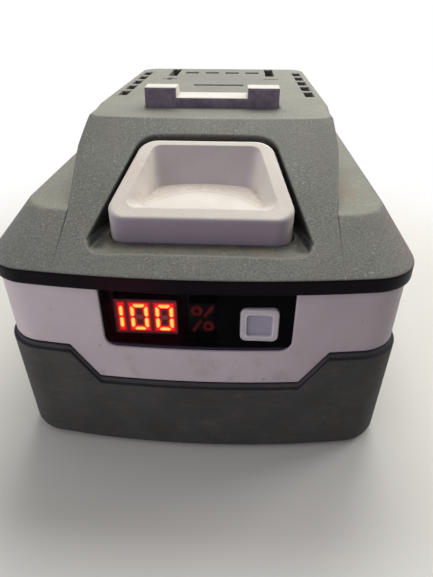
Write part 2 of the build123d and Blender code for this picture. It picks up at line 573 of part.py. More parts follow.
def top_openings():
    """What is cut into the platform: tongue slot, contact slots, core pockets and shallow marks."""
    above = PLATFORM_HEIGHT + OVERRUN
    behind = REAR + OVERRUN
    half = TONGUE_WIDTH / 2 + SLIDE_GAP
    cuts = [block(-half, half, TONGUE_FRONT - SLIDE_GAP, TONGUE_REAR + SLIDE_GAP, CEILING - OVERRUN, above)]
    for side in (-1, 1):
        x = side * TERMINAL_SPACING / 2
        half = TERMINAL_SLOT_WIDTH / 2
        start = PLATFORM_REAR - TERMINAL_SLOT_LENGTH
        lip_foot = PLATFORM_HEIGHT - TERMINAL_LIP_HEIGHT
        cuts.append(block(x - half, x + half, start, behind, SLOT_FLOOR, lip_foot))
        cuts.append(block(x - half, x + half, start, PLATFORM_REAR - TERMINAL_LIP_THICKNESS, SLOT_FLOOR, above))
        outer = side * (PLATFORM_WIDTH / 2 - CORE_POCKET_EDGE)
        inner = outer - side * CORE_POCKET_WIDTH
        for i in range(CORE_POCKET_COUNT):
            y = CORE_POCKET_FRONT + CORE_POCKET_PITCH * i
            cuts.append(block(inner, outer, y, y + CORE_POCKET_LENGTH, PLATFORM_HEIGHT - CORE_POCKET_DEPTH, above))
    half = SIGNAL_SLOT_WIDTH / 2
    for x in signal_places():
        cuts.append(block(x - half, x + half, PLATFORM_REAR - UPPER_WALL - OVERRUN, behind,
                          SLOT_FLOOR, SLOT_FLOOR + SIGNAL_SLOT_HEIGHT))
    mark_floor = PLATFORM_HEIGHT - MARK_DEPTH
    y = PLATFORM_FRONT + BAR_MARK_SETBACK
    cuts.append(block(-BAR_MARK_WIDTH / 2, BAR_MARK_WIDTH / 2, y, y + BAR_MARK_LENGTH, mark_floor, above))
    y = PLATFORM_REAR - TOP_MARK_REAR
    for x in signal_places():
        cuts.append(block(x - TOP_MARK_WIDTH / 2, x + TOP_MARK_WIDTH / 2, y - TOP_MARK_LENGTH / 2,
                          y + TOP_MARK_LENGTH / 2, mark_floor, above))
    y = PLATFORM_REAR - POLE_MARK_REAR
    reach, stroke = POLE_MARK_LENGTH / 2, POLE_MARK_STROKE / 2
    for side in (-1, 1):
        x = side * TERMINAL_SPACING / 2
        cuts.append(block(x - reach, x + reach, y - stroke, y + stroke, mark_floor, above))
    plus = -TERMINAL_SPACING / 2
    cuts.append(block(plus - stroke, plus + stroke, y - reach, y + reach, mark_floor, above))
    return cuts


def upper_case():
    """Dark upper case: shell, pocket with its floor, latch guides and the bosses inside."""
    outside = upper_outside()
    shell = outside - upper_cavity()
    tray_foot = POCKET_FLOOR - POCKET_WALL
    tray = extrude(Pos(0, 0, tray_foot) * pocket_plan(POCKET_WALL), PLATFORM_HEIGHT - tray_foot)
    tray &= block(-PACK_WIDTH, PACK_WIDTH, FRONT, POCKET_REAR - POCKET_OPEN_LENGTH, PARTING_HEIGHT, PLATFORM_HEIGHT)
    shell += tray & outside
    added = []
    for side in (-1, 1):
        inner = side * (BRIDGE_HALF_WIDTH + SLIDE_GAP)
        for y in (SPRING_PLACE, TONGUE_FRONT + GUIDE_LENGTH):
            added.append(block(inner, side * (BLOCK_HALF_ROOM + FIT_GAP), y - GUIDE_LENGTH / 2, y + GUIDE_LENGTH / 2,
                               SHOULDER_UNDERSIDE, CEILING + FIT_GAP))
    for x, y in retainer_places():
        added.append(upright(x, y, RETAINER_TOP, SHOULDER_UNDERSIDE + UPPER_WALL / 2, RETAINER_BOSS_RADIUS))
    roof = Pos(0, 0, -UPPER_WALL / 2) * slope_body()
    roof += extrude(pack_outline(UPPER_WALL + FIT_GAP, BOSS_SPLIT_HEIGHT), SKIRT_TOP - BOSS_SPLIT_HEIGHT)
    for x, y in boss_places():
        added.append(roof & upright(x, y, BOSS_SPLIT_HEIGHT, SHOULDER_UNDERSIDE + UPPER_WALL / 2, BOSS_RADIUS))
    shell += added
    cuts = top_openings()
    above = PLATFORM_HEIGHT + OVERRUN
    cuts.append(pocket_room())
    cuts.append(extrude(Pos(0, 0, PARTING_HEIGHT) * button_plan(SLIDE_GAP), above - PARTING_HEIGHT))
    for x, y in retainer_places():
        tip = RETAINER_BOTTOM + RETAINER_SCREW_LENGTH + FIT_GAP
        cuts.append(upright(x, y, RETAINER_TOP - OVERRUN, tip, RETAINER_SCREW_RADIUS + FRAME_GAP))
    for x, y in boss_places():
        tip = BOSS_SPLIT_HEIGHT + CASE_SCREW_TIP + FIT_GAP
        cuts.append(upright(x, y, BOSS_SPLIT_HEIGHT - OVERRUN, tip, CASE_SCREW_RADIUS + FRAME_GAP))
    return shell - cuts


def button_width(y):
    """Width of the button at a place along Y, before its corners are rounded."""
    share = (y - BUTTON_FRONT) / BUTTON_LENGTH
    return BUTTON_FRONT_WIDTH + (BUTTON_REAR_WIDTH - BUTTON_FRONT_WIDTH) * share


RIM_TILT = atan2(slope_height(BUTTON_REAR) - BUTTON_REAR_DROP - BUTTON_FRONT_TOP, BUTTON_LENGTH)


def rim_height(y):
    """Height of the button's tilted rim at a place along Y."""
    return BUTTON_FRONT_TOP + (y - BUTTON_FRONT) * tan(RIM_TILT)


def finger_recess():
    """Cutter for the finger recess: from the tilted rim down to a crowned floor."""
    front, rear = BUTTON_FRONT + RECESS_RIM_FRONT, BUTTON_REAR - RECESS_RIM_REAR
    length = (rear - front) / cos(RIM_TILT)
    rim_plane = Plane(origin=(0, front, rim_height(front)), x_dir=(1, 0, 0), z_dir=(0, -sin(RIM_TILT), cos(RIM_TILT)))
    mouth = rim_plane * trapezoid(button_width(front) - 2 * RECESS_RIM_SIDE, button_width(rear) - 2 * RECESS_RIM_SIDE,
                                  0, length, RECESS_CORNER, RECESS_CORNER)
    floor_height = rim_height(front) - RECESS_FLOOR_DROP
    floor_front, floor_rear = front + RECESS_FRONT_LEAN, rear - RECESS_BACK_LEAN
    margin = 2 * (RECESS_RIM_SIDE + RECESS_SIDE_LEAN)
    floor_width = button_width(floor_front) - margin
    corner = min(RECESS_CORNER, (floor_rear - floor_front) / 3)
    floor = Pos(0, 0, floor_height) * trapezoid(floor_width, button_width(floor_rear) - margin,
                                                floor_front, floor_rear, corner, corner)
    recess = loft([floor, mouth], ruled=True) + extrude(mouth, OVERRUN)
    crown_radius = (floor_width ** 2 / 4 + RECESS_CROWN ** 2) / (2 * RECESS_CROWN)
    crown = Pos(0, BUTTON_FRONT + BUTTON_LENGTH / 2, floor_height + RECESS_CROWN - crown_radius)
    return recess - crown * Rot(90, 0, 0) * Cylinder(crown_radius, BUTTON_LENGTH)


def release_latch():
    """The pale moulding: button with its finger recess, bridge, spring seats and locking tongue."""
    foot = POCKET_FLOOR - BUTTON_SKIRT_DROP
    button = extrude(Pos(0, 0, foot) * button_plan(0), PLATFORM_HEIGHT - foot)
    front, rear = BUTTON_FRONT - OVERRUN, BUTTON_REAR + OVERRUN
    button &= side_prism([(front, foot), (rear, foot), (rear, rim_height(rear)), (front, rim_height(front))],
                         -PACK_WIDTH, PACK_WIDTH)
    rim = button.faces().sort_by(Axis.Z)[-1]
    button = fillet(rim.outer_wire().edges(), BUTTON_EDGE_RADIUS)
    button -= finger_recess()
    roof = CELL_TOP + LATCH_TRAVEL + FRAME_WALL
    button -= extrude(Pos(0, 0, foot - OVERRUN) * button_plan(-BUTTON_FACE_WALL), roof - foot + OVERRUN)
    half = BRIDGE_HALF_WIDTH
    bridge = block(-half, half, BUTTON_REAR - BRIDGE_TUCK, TONGUE_REAR, BRIDGE_BOTTOM, BRIDGE_TOP)
    ears = block(-half, half, TONGUE_FRONT, TONGUE_REAR, BRIDGE_BOTTOM, CEILING - STOP_GAP)
    ramp_top = TONGUE_TOP - TONGUE_RAMP_DROP
    lock_rear = TONGUE_FRONT + TONGUE_THICKNESS
    tongue = side_prism([(TONGUE_FRONT, BRIDGE_TOP), (TONGUE_FRONT, TONGUE_TOP), (lock_rear, TONGUE_TOP),
                         (TONGUE_REAR, ramp_top), (TONGUE_REAR, BRIDGE_TOP)], -TONGUE_WIDTH / 2, TONGUE_WIDTH / 2)
    tongue -= block(-TONGUE_NOTCH_WIDTH / 2, TONGUE_NOTCH_WIDTH / 2, TONGUE_FRONT - OVERRUN, TONGUE_REAR + OVERRUN,
                    TONGUE_TOP - TONGUE_NOTCH_DEPTH, TONGUE_TOP + OVERRUN)
    front_top = [e for e in tongue.edges() if abs(e.center().Y - TONGUE_FRONT) < FRAME_GAP
                 and e.center().Z > TONGUE_TOP - TONGUE_HEIGHT and e.length < TONGUE_WIDTH - FIT_GAP]
    tongue = fillet(front_top, TONGUE_EDGE_RADIUS)
    latch = button + bridge + ears + tongue
    under = Pos(0, CELL_FRONT, UPPER_LAYER + LATCH_TRAVEL) * Rot(0, 90, 0)
    latch -= under * Cylinder(CELL_RADIUS + FRAME_WALL, PACK_WIDTH)
    for side in (-1, 1):
        latch -= upright(side * SPRING_SPACING / 2, SPRING_PLACE, BRIDGE_BOTTOM - OVERRUN,
                         BRIDGE_BOTTOM + SPRING_SEAT_DEPTH, SPRING_RADIUS + SPRING_WIRE / 2 + SLIDE_GAP)
    return latch


def retainer_front():
    """Front edge of the latch retainer."""
    return BUTTON_REAR - RETAINER_SCREW_LEAD - RETAINER_EAR_LENGTH


def latch_retainer():
    """Plate screwed under the latch: it carries the springs on two posts and stops the pressed latch."""
    rear = BOARD_FRONT - BOARD_FRONT_GAP
    half = RETAINER_WIDTH / 2
    plate = block(-half, half, retainer_front(), rear, RETAINER_BOTTOM, RETAINER_TOP)
    notch = BUTTON_FRONT_WIDTH / 2 + SLIDE_GAP
    cuts = [block(-notch, notch, retainer_front() - OVERRUN, BUTTON_REAR + BUTTON_REAR_GAP,
                  RETAINER_BOTTOM - OVERRUN, RETAINER_TOP + OVERRUN)]
    for x, y in retainer_places():
        cuts.append(upright(x, y, RETAINER_BOTTOM - OVERRUN, RETAINER_TOP + OVERRUN,
                            RETAINER_SCREW_RADIUS + FRAME_GAP))
    plate -= cuts
    for side in (-1, 1):
        plate += upright(side * SPRING_SPACING / 2, SPRING_PLACE, RETAINER_BOTTOM, RETAINER_TOP + SPRING_POST_HEIGHT,
                         SPRING_POST_RADIUS)
    return plate


def latch_spring(side):
    """Coil spring that lifts the latch, standing on the retainer in its seat under the bridge."""
    start = RETAINER_TOP + SPRING_WIRE / 2
    height = BRIDGE_BOTTOM + SPRING_SEAT_DEPTH - SPRING_WIRE / 2 - start
    coil = Helix(height / SPRING_TURNS, height, SPRING_RADIUS)
    section = Plane(origin=coil @ 0, z_dir=coil % 0) * Circle(SPRING_WIRE / 2)
    return Pos(side * SPRING_SPACING / 2, SPRING_PLACE, start) * sweep(section, coil, is_frenet=True)


def screw(x, y, seat, direction, head_height, head_radius, shank_radius, length):
    """Screw whose head rests on a plane at height seat; its shank points up (1) or down (-1)."""
    head_end = seat - direction * head_height
    head = upright(x, y, min(seat, head_end), max(seat, head_end), head_radius)
    tip = seat + direction * length
    shank = upright(x, y, min(seat, tip), max(seat, tip), shank_radius)
    drive = Pos(x, y, head_end) * extrude(RegularPolygon(head_radius / 2, 6), direction * head_height / 2)
    return head + shank - drive


def retainer_screws():
    """Four screws that hold the retainer to the upper case, from below."""
    return [screw(x, y, RETAINER_BOTTOM, 1, RETAINER_HEAD_HEIGHT, RETAINER_HEAD_RADIUS, RETAINER_SCREW_RADIUS,
                  RETAINER_SCREW_LENGTH) for x, y in retainer_places()]


def case_screw_seat():
    """Plane that the heads of the case screws rest on."""
    return UNDERSIDE_HEIGHT + HEAD_SINK + CASE_SCREW_HEAD_HEIGHT


def case_screws():
    """Four long screws that join both halves of the case, from below."""
    length = BOSS_SPLIT_HEIGHT + CASE_SCREW_TIP - case_screw_seat()
    return [screw(x, y, case_screw_seat(), 1, CASE_SCREW_HEAD_HEIGHT, CASE_SCREW_HEAD_RADIUS, CASE_SCREW_RADIUS,
                  length) for x, y in boss_places()]


def lower_inset(z):
    """How far the lower case stays inside the pack's plan at height z."""
    share = (z - UNDERSIDE_HEIGHT) / (PARTING_HEIGHT - UNDERSIDE_HEIGHT)
    return LOWER_INSET_FOOT + (LOWER_INSET_TOP - LOWER_INSET_FOOT) * share


def lower_body(depth, z0, z1):
    """The lower case's tapering form between two heights, drawn in by a depth."""
    return loft([pack_outline(lower_inset(z) + depth, z) for z in (z0, z1)], ruled=True)


def front_face(x, z, depth):
    """Place along Y of the bowed front of the lower case, at a depth inside its surface."""
    inset = lower_inset(z) + depth
    half_width = PACK_WIDTH / 2 - inset
    radius = (half_width ** 2 + FRONT_BOW ** 2) / (2 * FRONT_BOW)
    return FRONT + inset + radius - sqrt(radius ** 2 - x ** 2)


def window_prism(margin, top):
    """Prism through the display window, grown by a margin at its sides and foot."""
    half, foot, start = WINDOW_WIDTH / 2 + margin, WINDOW_BOTTOM - margin, FRONT - OVERRUN
    corners = [(-half, start, foot), (half, start, foot), (half, start, top), (-half, start, top)]
    face = make_face(Polyline(corners, close=True))
    face = fillet(face.vertices().sort_by(Axis.Z)[:2], WINDOW_CORNER + margin)
    return extrude(face, DISPLAY_BOARD_FRONT - start, dir=(0, 1, 0))


def bumper_inset(z):
    """How far the bumper's outer face stays inside the pack's plan at height z."""
    return BUMPER_INSET_FOOT + (BUMPER_INSET_TOP - BUMPER_INSET_FOOT) * z / BUMPER_HIGH


def bumper_body(depth, z0):
    """The bumper's tapering form from height z0 up, drawn in by a depth."""
    return loft([pack_outline(bumper_inset(z) + depth, z) for z in (z0, BUMPER_HIGH + OVERRUN)], ruled=True)


def bumper_outside():
    """Outer form of the bumper, rounded round its foot."""
    sections = []
    for i in range(FOOT_STEPS):
        turn = pi / 2 * i / (FOOT_STEPS - 1)
        z = BUMPER_FOOT_RADIUS * (1 - cos(turn))
        sections.append(pack_outline(bumper_inset(z) + BUMPER_FOOT_RADIUS * (1 - sin(turn)), z))
    top = BUMPER_HIGH + OVERRUN
    return loft(sections + [pack_outline(bumper_inset(top), top)], ruled=True)


def dip_profile(dip_width, reach, rise):
    """Outline of the bumper seen from one side: high at both ends, with a dip in the middle."""
    high, low = BUMPER_HIGH + rise, BUMPER_LOW + rise
    right = [(reach, -OVERRUN), (reach, high), (dip_width / 2, high), (dip_width / 2 - BUMPER_RAMP, low)]
    return right + [(-u, z) for u, z in reversed(right)]


def bumper_zone(rise):
    """Space that the bumper reaches, raised by a rise: high round the corners, lower between them."""
    front = dip_profile(FRONT_DIP_WIDTH, PACK_WIDTH, rise)
    side = dip_profile(SIDE_DIP_WIDTH, PACK_LENGTH, rise)
    return front_prism(front, FRONT - OVERRUN, REAR + OVERRUN) & side_prism(side, -PACK_WIDTH, PACK_WIDTH)


def flange_inset():
    """Inner edge of the flange that the bumper tucks under the floor."""
    return BUMPER_INSET_FOOT + BUMPER_THICKNESS + FLANGE_WIDTH


def rubber_bumper():
    """Overmoulded rubber: wall round the foot with a stepped upper edge and a flange underneath."""
    reach = bumper_zone(-BUMPER_LEDGE_HEIGHT) + (bumper_zone(0) & bumper_body(BUMPER_LEDGE_DEPTH, -OVERRUN))
    rubber = bumper_outside() & reach
    rubber -= bumper_body(BUMPER_THICKNESS, FLANGE_THICKNESS)
    rubber -= extrude(pack_outline(flange_inset(), -OVERRUN), BUMPER_HIGH)
    notch = CASE_SCREW_HEAD_RADIUS + SLIDE_GAP
    return rubber - [upright(x, y, -OVERRUN, case_screw_seat(), notch) for x, y in boss_places()]


def display_posts():
    """Two posts in the lower case with a groove each for an end of the display board."""
    front = DISPLAY_BOARD_FRONT - FRAME_GAP - BOARD_RIB_THICKNESS
    rear = DISPLAY_BOARD_REAR + FRAME_GAP + BOARD_RIB_THICKNESS
    hold = BOARD_RIB_DEPTH / 2
    left = block(-DISPLAY_BOARD_LEFT - BOARD_RIB_DEPTH, -DISPLAY_BOARD_LEFT + hold, front, rear, FLOOR_TOP,
                 DISPLAY_BOARD_TOP)
    right = block(DISPLAY_BOARD_RIGHT - hold, DISPLAY_BOARD_RIGHT + BOARD_RIB_DEPTH, front, rear, FLOOR_TOP,
                  DISPLAY_BOARD_TOP)
    groove = block(-DISPLAY_BOARD_LEFT - FIT_GAP, DISPLAY_BOARD_RIGHT + FIT_GAP, DISPLAY_BOARD_FRONT - FRAME_GAP,
                   DISPLAY_BOARD_REAR + FRAME_GAP, DISPLAY_BOARD_BOTTOM, DISPLAY_BOARD_TOP + OVERRUN)
    return [left - groove, right - groove]


def lower_case():
    """Pale lower case: tapering tub with the window, a centring rim, screw bosses and board posts."""
    top = PARTING_HEIGHT - FIT_GAP
    tub = lower_body(0, UNDERSIDE_HEIGHT, top) - lower_body(LOWER_WALL, FLOOR_TOP, top + OVERRUN)
    rim_height_above = OVERRUN + FIT_GAP + RIM_HEIGHT
    rim = extrude(pack_outline(UPPER_WALL + FIT_GAP, top - OVERRUN), rim_height_above)
    rim -= extrude(pack_outline(LOWER_INSET_TOP + LOWER_WALL, top - OVERRUN), rim_height_above)
    tub += rim
    tub += [upright(x, y, UNDERSIDE_HEIGHT, BOSS_SPLIT_HEIGHT, BOSS_RADIUS) for x, y in boss_places()]
    tub -= bumper_zone(FIT_GAP) - bumper_body(BUMPER_THICKNESS + FIT_GAP, -OVERRUN)
    depth = FLANGE_THICKNESS + FIT_GAP
    tub -= extrude(pack_outline(0, 0), depth) - extrude(pack_outline(flange_inset() + FIT_GAP, 0), depth)
    rim_end = PARTING_HEIGHT + RIM_HEIGHT + OVERRUN
    flange_front = LENS_RECESS + LENS_THICKNESS - LENS_FLANGE_THICKNESS - FIT_GAP
    rebate = window_prism(LENS_FLANGE, rim_end) & lower_body(flange_front, FLOOR_TOP, rim_end)
    tub -= [window_prism(0, rim_end), rebate]
    for x, y in boss_places():
        tub -= upright(x, y, 0, BOSS_SPLIT_HEIGHT + OVERRUN, CASE_SCREW_RADIUS + FRAME_GAP)
        tub -= upright(x, y, 0, case_screw_seat(), CASE_SCREW_HEAD_RADIUS + FIT_GAP)
    half_width, half_length = LABEL_WIDTH / 2, LABEL_LENGTH / 2
    tub -= block(-half_width, half_width, -half_length, half_length, 0, UNDERSIDE_HEIGHT + LABEL_DEPTH)
    return tub + display_posts()


def front_pad(x, z, width, height, corner, y0, y1):
    """Plate with rounded corners that faces -Y, between two places along Y."""
    face = Pos(x, y0, z) * Rot(90, 0, 0) * RectangleRounded(width, height, corner)
    return extrude(face, y1 - y0, dir=(0, 1, 0))


def check_pad(margin, y0, y1):
    """Square prism of the charge check button, grown by a margin."""
    side = CHECK_WIDTH + 2 * margin
    return front_pad(CHECK_CENTRE, CHECK_HEIGHT, side, side, CHECK_CORNER + margin, y0, y1)


def display_lens():
    """Dark window over the display, seated from inside in its rebate, with a hole for the button."""
    top, foot = PARTING_HEIGHT - FIT_GAP, FLOOR_TOP
    rear = LENS_RECESS + LENS_THICKNESS
    behind = lower_body(rear, foot, top + OVERRUN)
    plate = (lower_body(LENS_RECESS, foot, top + OVERRUN) - behind) & window_prism(-FIT_GAP, top)
    flange = lower_body(rear - LENS_FLANGE_THICKNESS, foot, top + OVERRUN) - behind
    lens = plate + (flange & window_prism(LENS_FLANGE - FIT_GAP, top))
    return lens - check_pad(BLOCK_GAP, FRONT - OVERRUN, DISPLAY_BOARD_FRONT)


def check_front():
    """Place along Y of the face of the check button."""
    return front_face(CHECK_CENTRE, CHECK_HEIGHT, LENS_RECESS) - CHECK_PROUD


def check_stop():
    """Place along Y of the step that holds the check button behind the window."""
    reach = CHECK_WIDTH / 2 + CHECK_FLANGE_MARGIN
    return front_face(CHECK_CENTRE + reach, CHECK_HEIGHT - reach, LENS_RECESS + LENS_THICKNESS) + FRAME_GAP


def switch_front():
    """Place along Y of the front of the switch, clear of the button when it is pressed."""
    return check_stop() + CHECK_FLANGE_THICKNESS + CHECK_TRAVEL + FIT_GAP


def check_button():
    """Square pale button that lights the display, with a dished face."""
    rear = check_stop() + CHECK_FLANGE_THICKNESS
    cap = check_pad(0, check_front(), rear)
    cap = fillet(cap.faces().sort_by(Axis.Y)[0].edges(), CHECK_EDGE_RADIUS)
    dish = front_pad(CHECK_CENTRE, CHECK_HEIGHT, CHECK_DISH_WIDTH, CHECK_DISH_WIDTH, CHECK_DISH_CORNER,
                     check_front() - OVERRUN, check_front() + CHECK_DISH_DEPTH)
    return cap + check_pad(CHECK_FLANGE_MARGIN, check_stop(), rear) - dish


def facing_pin(x, z, radius, y0, y1):
    """Cylinder along Y."""
    return Pos(x, (y0 + y1) / 2, z) * Rot(90, 0, 0) * Cylinder(radius, y1 - y0)


def check_switch():
    """Push switch on the display board behind the button."""
    body = front_pad(CHECK_CENTRE, CHECK_HEIGHT, SWITCH_WIDTH, SWITCH_WIDTH, CHECK_DISH_CORNER, switch_front(),
                     DISPLAY_BOARD_FRONT)
    depth = switch_front() + SWITCH_PLUNGER_TAIL + CHECK_TRAVEL + FIT_GAP
    return body - facing_pin(CHECK_CENTRE, CHECK_HEIGHT, SWITCH_PLUNGER_RADIUS + SWITCH_PLUNGER_GAP,
                             switch_front() - OVERRUN, depth)


def switch_plunger():
    """Plunger of the switch, against the back of the button."""
    return facing_pin(CHECK_CENTRE, CHECK_HEIGHT, SWITCH_PLUNGER_RADIUS, check_stop() + CHECK_FLANGE_THICKNESS,
                      switch_front() + SWITCH_PLUNGER_TAIL)


def display_board():
    """Small board that carries the display and the switch."""
    return block(-DISPLAY_BOARD_LEFT, DISPLAY_BOARD_RIGHT, DISPLAY_BOARD_FRONT, DISPLAY_BOARD_REAR,
                 DISPLAY_BOARD_BOTTOM, DISPLAY_BOARD_TOP)


def display_module():
    """Block of the three digits."""
    return front_pad(MODULE_CENTRE, DISPLAY_HEIGHT, MODULE_WIDTH, MODULE_HEIGHT, MODULE_CORNER, MODULE_FRONT,
                     DISPLAY_BOARD_FRONT)


def digit_bar(digit, across, up, is_upright):
    """One bar with pointed ends: digit counts from the left, across and up are places in it from -1 to 1."""
    half_width, half_height = (DIGIT_WIDTH - DIGIT_STROKE) / 2, (DIGIT_HEIGHT - DIGIT_STROKE) / 2
    centre = LAST_DIGIT_CENTRE - DIGIT_PITCH * (DIGIT_COUNT - 1 - digit)
    reach = (half_height / 2 if is_upright else half_width) - DIGIT_BREAK
    side = DIGIT_STROKE / 2
    points = [(-reach, 0), (side - reach, side), (reach - side, side), (reach, 0), (reach - side, -side),
              (side - reach, -side)]
    if is_upright:
        points = [(v, u) for u, v in points]
    x, z = centre + across * half_width, DISPLAY_HEIGHT + up * half_height
    return front_prism([(x + u, z + v) for u, v in points], MODULE_FRONT - DIGIT_RELIEF, MODULE_FRONT)


def digit_segments():
    """The lit bars, which read 100."""
    bars = [digit_bar(0, 1, up / 2, True) for up in (-1, 1)]
    for digit in range(1, DIGIT_COUNT):
        bars += [digit_bar(digit, 0, up, False) for up in (-1, 1)]
        bars += [digit_bar(digit, across, up / 2, True) for across in (-1, 1) for up in (-1, 1)]
    return bars


def unlit_segments():
    """The dark middle bars of the two noughts."""
    return [digit_bar(digit, 0, 0, False) for digit in range(1, DIGIT_COUNT)]


def percent_module():
    """Block of the percent mark."""
    margin = 2 * PERCENT_BODY_MARGIN
    return front_pad(PERCENT_CENTRE, DISPLAY_HEIGHT, PERCENT_WIDTH + margin, PERCENT_HEIGHT + margin, MODULE_CORNER,
                     MODULE_FRONT, DISPLAY_BOARD_FRONT)


def percent_mark():
    """Percent mark: two rings and a stroke that is broken in the middle."""
    start, end = MODULE_FRONT - DIGIT_RELIEF, MODULE_FRONT
    across, up = PERCENT_WIDTH / 2 - PERCENT_RING_RADIUS, PERCENT_HEIGHT / 2 - PERCENT_RING_RADIUS
    mark = []
    for side in (-1, 1):
        x, z = PERCENT_CENTRE + side * across, DISPLAY_HEIGHT - side * up
        mark.append(facing_pin(x, z, PERCENT_RING_RADIUS, start, end)
                    - facing_pin(x, z, PERCENT_RING_RADIUS - PERCENT_STROKE, start - OVERRUN, end + OVERRUN))
    lean = atan2(PERCENT_WIDTH - PERCENT_STROKE, PERCENT_HEIGHT)
    half_length, half_stroke = PERCENT_HEIGHT / cos(lean) / 2, PERCENT_STROKE / 2
    for side in (-1, 1):
        near, far = side * PERCENT_BREAK / 2, side * half_length
        corners = [(-half_stroke, near), (half_stroke, near), (half_stroke, far), (-half_stroke, far)]
        turned = [(PERCENT_CENTRE + u * cos(lean) + v * sin(lean), DISPLAY_HEIGHT - u * sin(lean) + v * cos(lean))
                  for u, v in corners]
        mark.append(front_prism(turned, start, end))
    return mark


def across_pin(y, z, radius, x0, x1):
    """Cylinder along X."""
    return Pos((x0 + x1) / 2, y, z) * Rot(0, 90, 0) * Cylinder(radius, abs(x1 - x0))


def positive_side(column):
    """Side of a column's positive ends: it changes from column to column."""
    return -1 if column % 2 == 0 else 1


def cell(column, layer):
    """One cell along X: its can with the crimped groove, and the nub of its positive end."""
    end, shoulder = CELL_LENGTH / 2, CELL_LENGTH / 2 - CELL_NUB_HEIGHT
    groove = shoulder - CELL_CRIMP_SETBACK
    profile = [(-end, 0), (-end, CELL_RADIUS), (groove - CELL_CRIMP_WIDTH, CELL_RADIUS),
               (groove - CELL_CRIMP_WIDTH / 2, CELL_RADIUS - CELL_CRIMP_DEPTH), (groove, CELL_RADIUS),
               (shoulder, CELL_RADIUS), (shoulder, CELL_NUB_RADIUS), (end, CELL_NUB_RADIUS), (end, 0)]
    body = revolve(make_face(Polyline(profile, close=True)), Axis.X)
    turn = 0 if positive_side(column) > 0 else 180
    return Pos(0, column_places()[column], LAYERS[layer]) * Rot(0, 0, turn) * body


def cell_insulators():
    """Card rings on the shoulders round the positive nubs."""
    rings = []
    for column in range(CELL_COLUMNS):
        start = positive_side(column) * (CELL_LENGTH / 2 - CELL_NUB_HEIGHT)
        end = start + positive_side(column) * RING_THICKNESS
        for z in LAYERS:
            y = column_places()[column]
            rings.append(across_pin(y, z, CELL_RADIUS - FIT_GAP, start, end)
                         - across_pin(y, z, CELL_NUB_RADIUS + SLIDE_GAP, start - OVERRUN, end + OVERRUN))
    return rings


def board_screw_places(side):
    """Middles of the board screws at one side: one over each gap between cells that the board covers."""
    covered = [y for y in map(valley, range(CELL_COLUMNS - 1)) if y > BOARD_FRONT + BOARD_HEAD_RADIUS]
    return [(side * (BOARD_WIDTH / 2 - BOARD_POST_INSET), y) for y in covered]


def cell_holder(side):
    """End frame that holds the ten cells at one side, with two posts under the main board."""
    outer = side * CELL_LENGTH / 2
    inner = outer - side * FRAME_DEPTH
    frame = block(inner, outer, FRAME_FRONT, FRAME_REAR, FLOOR_TOP, FRAME_TOP)
    frame -= [across_pin(y, z, CELL_RADIUS + FRAME_GAP, inner - side * OVERRUN, outer + side * OVERRUN)
              for y in column_places() for z in LAYERS]
    places = board_screw_places(side)
    frame += [upright(x, y, FRAME_TOP - FRAME_WALL, BOARD_BOTTOM, BOARD_POST_RADIUS) for x, y in places]
    tip = BOARD_TOP - BOARD_SCREW_LENGTH - FIT_GAP
    return frame - [upright(x, y, tip, BOARD_TOP, BOARD_SCREW_RADIUS + FRAME_GAP) for x, y in places]


def strip_places(place):
    """Middles of the one or two columns that a strip joins, by its place in the series."""
    return [column_places()[i] for i in (place - 1, place) if i in range(CELL_COLUMNS)]


def tab_start(place):
    """Front edge of a strip's tab: at its first column under the main board, or else at its last."""
    under_board = [y for y in strip_places(place) if y > BOARD_FRONT]
    return (under_board or strip_places(place)[-1:])[0] + STRIP_WIDTH / 2 - TAB_WIDTH


def tab_lane(place):
    """Lane in which a tab runs back to the board: strips further back take the lanes outside it."""
    return sum(1 for later in range(place + 2, CELL_COLUMNS + 1, 2) if tab_start(later) <= BOARD_FRONT)


def nickel_strip(place):
    """Welded strip, by its place in the series from the negative end.

    The strips lie at the right and the left in turn, with a tab over the end frame to the main board."""
    side = 1 if place % 2 == 0 else -1
    face = CELL_LENGTH / 2
    low, high = LOWER_LAYER - STRIP_REACH, UPPER_LAYER + STRIP_REACH
    outer = side * (face + STRIP_THICKNESS)
    places = strip_places(place)
    half = STRIP_WIDTH / 2
    strip = [block(side * face, outer, y - half, y + half, low, high) for y in places]
    strip += [block(side * face, outer, places[0] - half, places[-1] + half, z - half, z + half) for z in LAYERS]
    tab_front = tab_start(place)
    tab_rear = tab_front + TAB_WIDTH
    tab_top = FRAME_TOP + STRIP_THICKNESS
    reach = side * (BOARD_WIDTH / 2 - TAB_INSET - tab_lane(place) * (TAB_WIDTH + TAB_GAP))
    strip.append(block(side * face, outer, tab_front, tab_rear, high - half, tab_top))
    strip.append(block(reach, outer, tab_front, tab_rear, FRAME_TOP, tab_top))
    if tab_front > BOARD_FRONT:
        strip.append(block(reach, reach + side * STRIP_THICKNESS, tab_front, tab_rear, FRAME_TOP, BOARD_BOTTOM))
    else:
        run_rear = BOARD_FRONT + TAB_WIDTH
        run_outer = reach + side * TAB_WIDTH
        strip.append(block(reach, run_outer, tab_front, run_rear, FRAME_TOP, tab_top))
        strip.append(block(reach, run_outer, run_rear - STRIP_THICKNESS, run_rear, FRAME_TOP, BOARD_BOTTOM))
    return strip[0] + strip[1:]


def insulation_paper(side):
    """Sheet of paper over the strips of one side."""
    inner = side * (CELL_LENGTH / 2 + STRIP_THICKNESS)
    return block(inner, inner + side * PAPER_THICKNESS, FRAME_FRONT + PAPER_MARGIN, FRAME_REAR - PAPER_MARGIN,
                 FLOOR_TOP + PAPER_MARGIN, FRAME_TOP - PAPER_MARGIN)


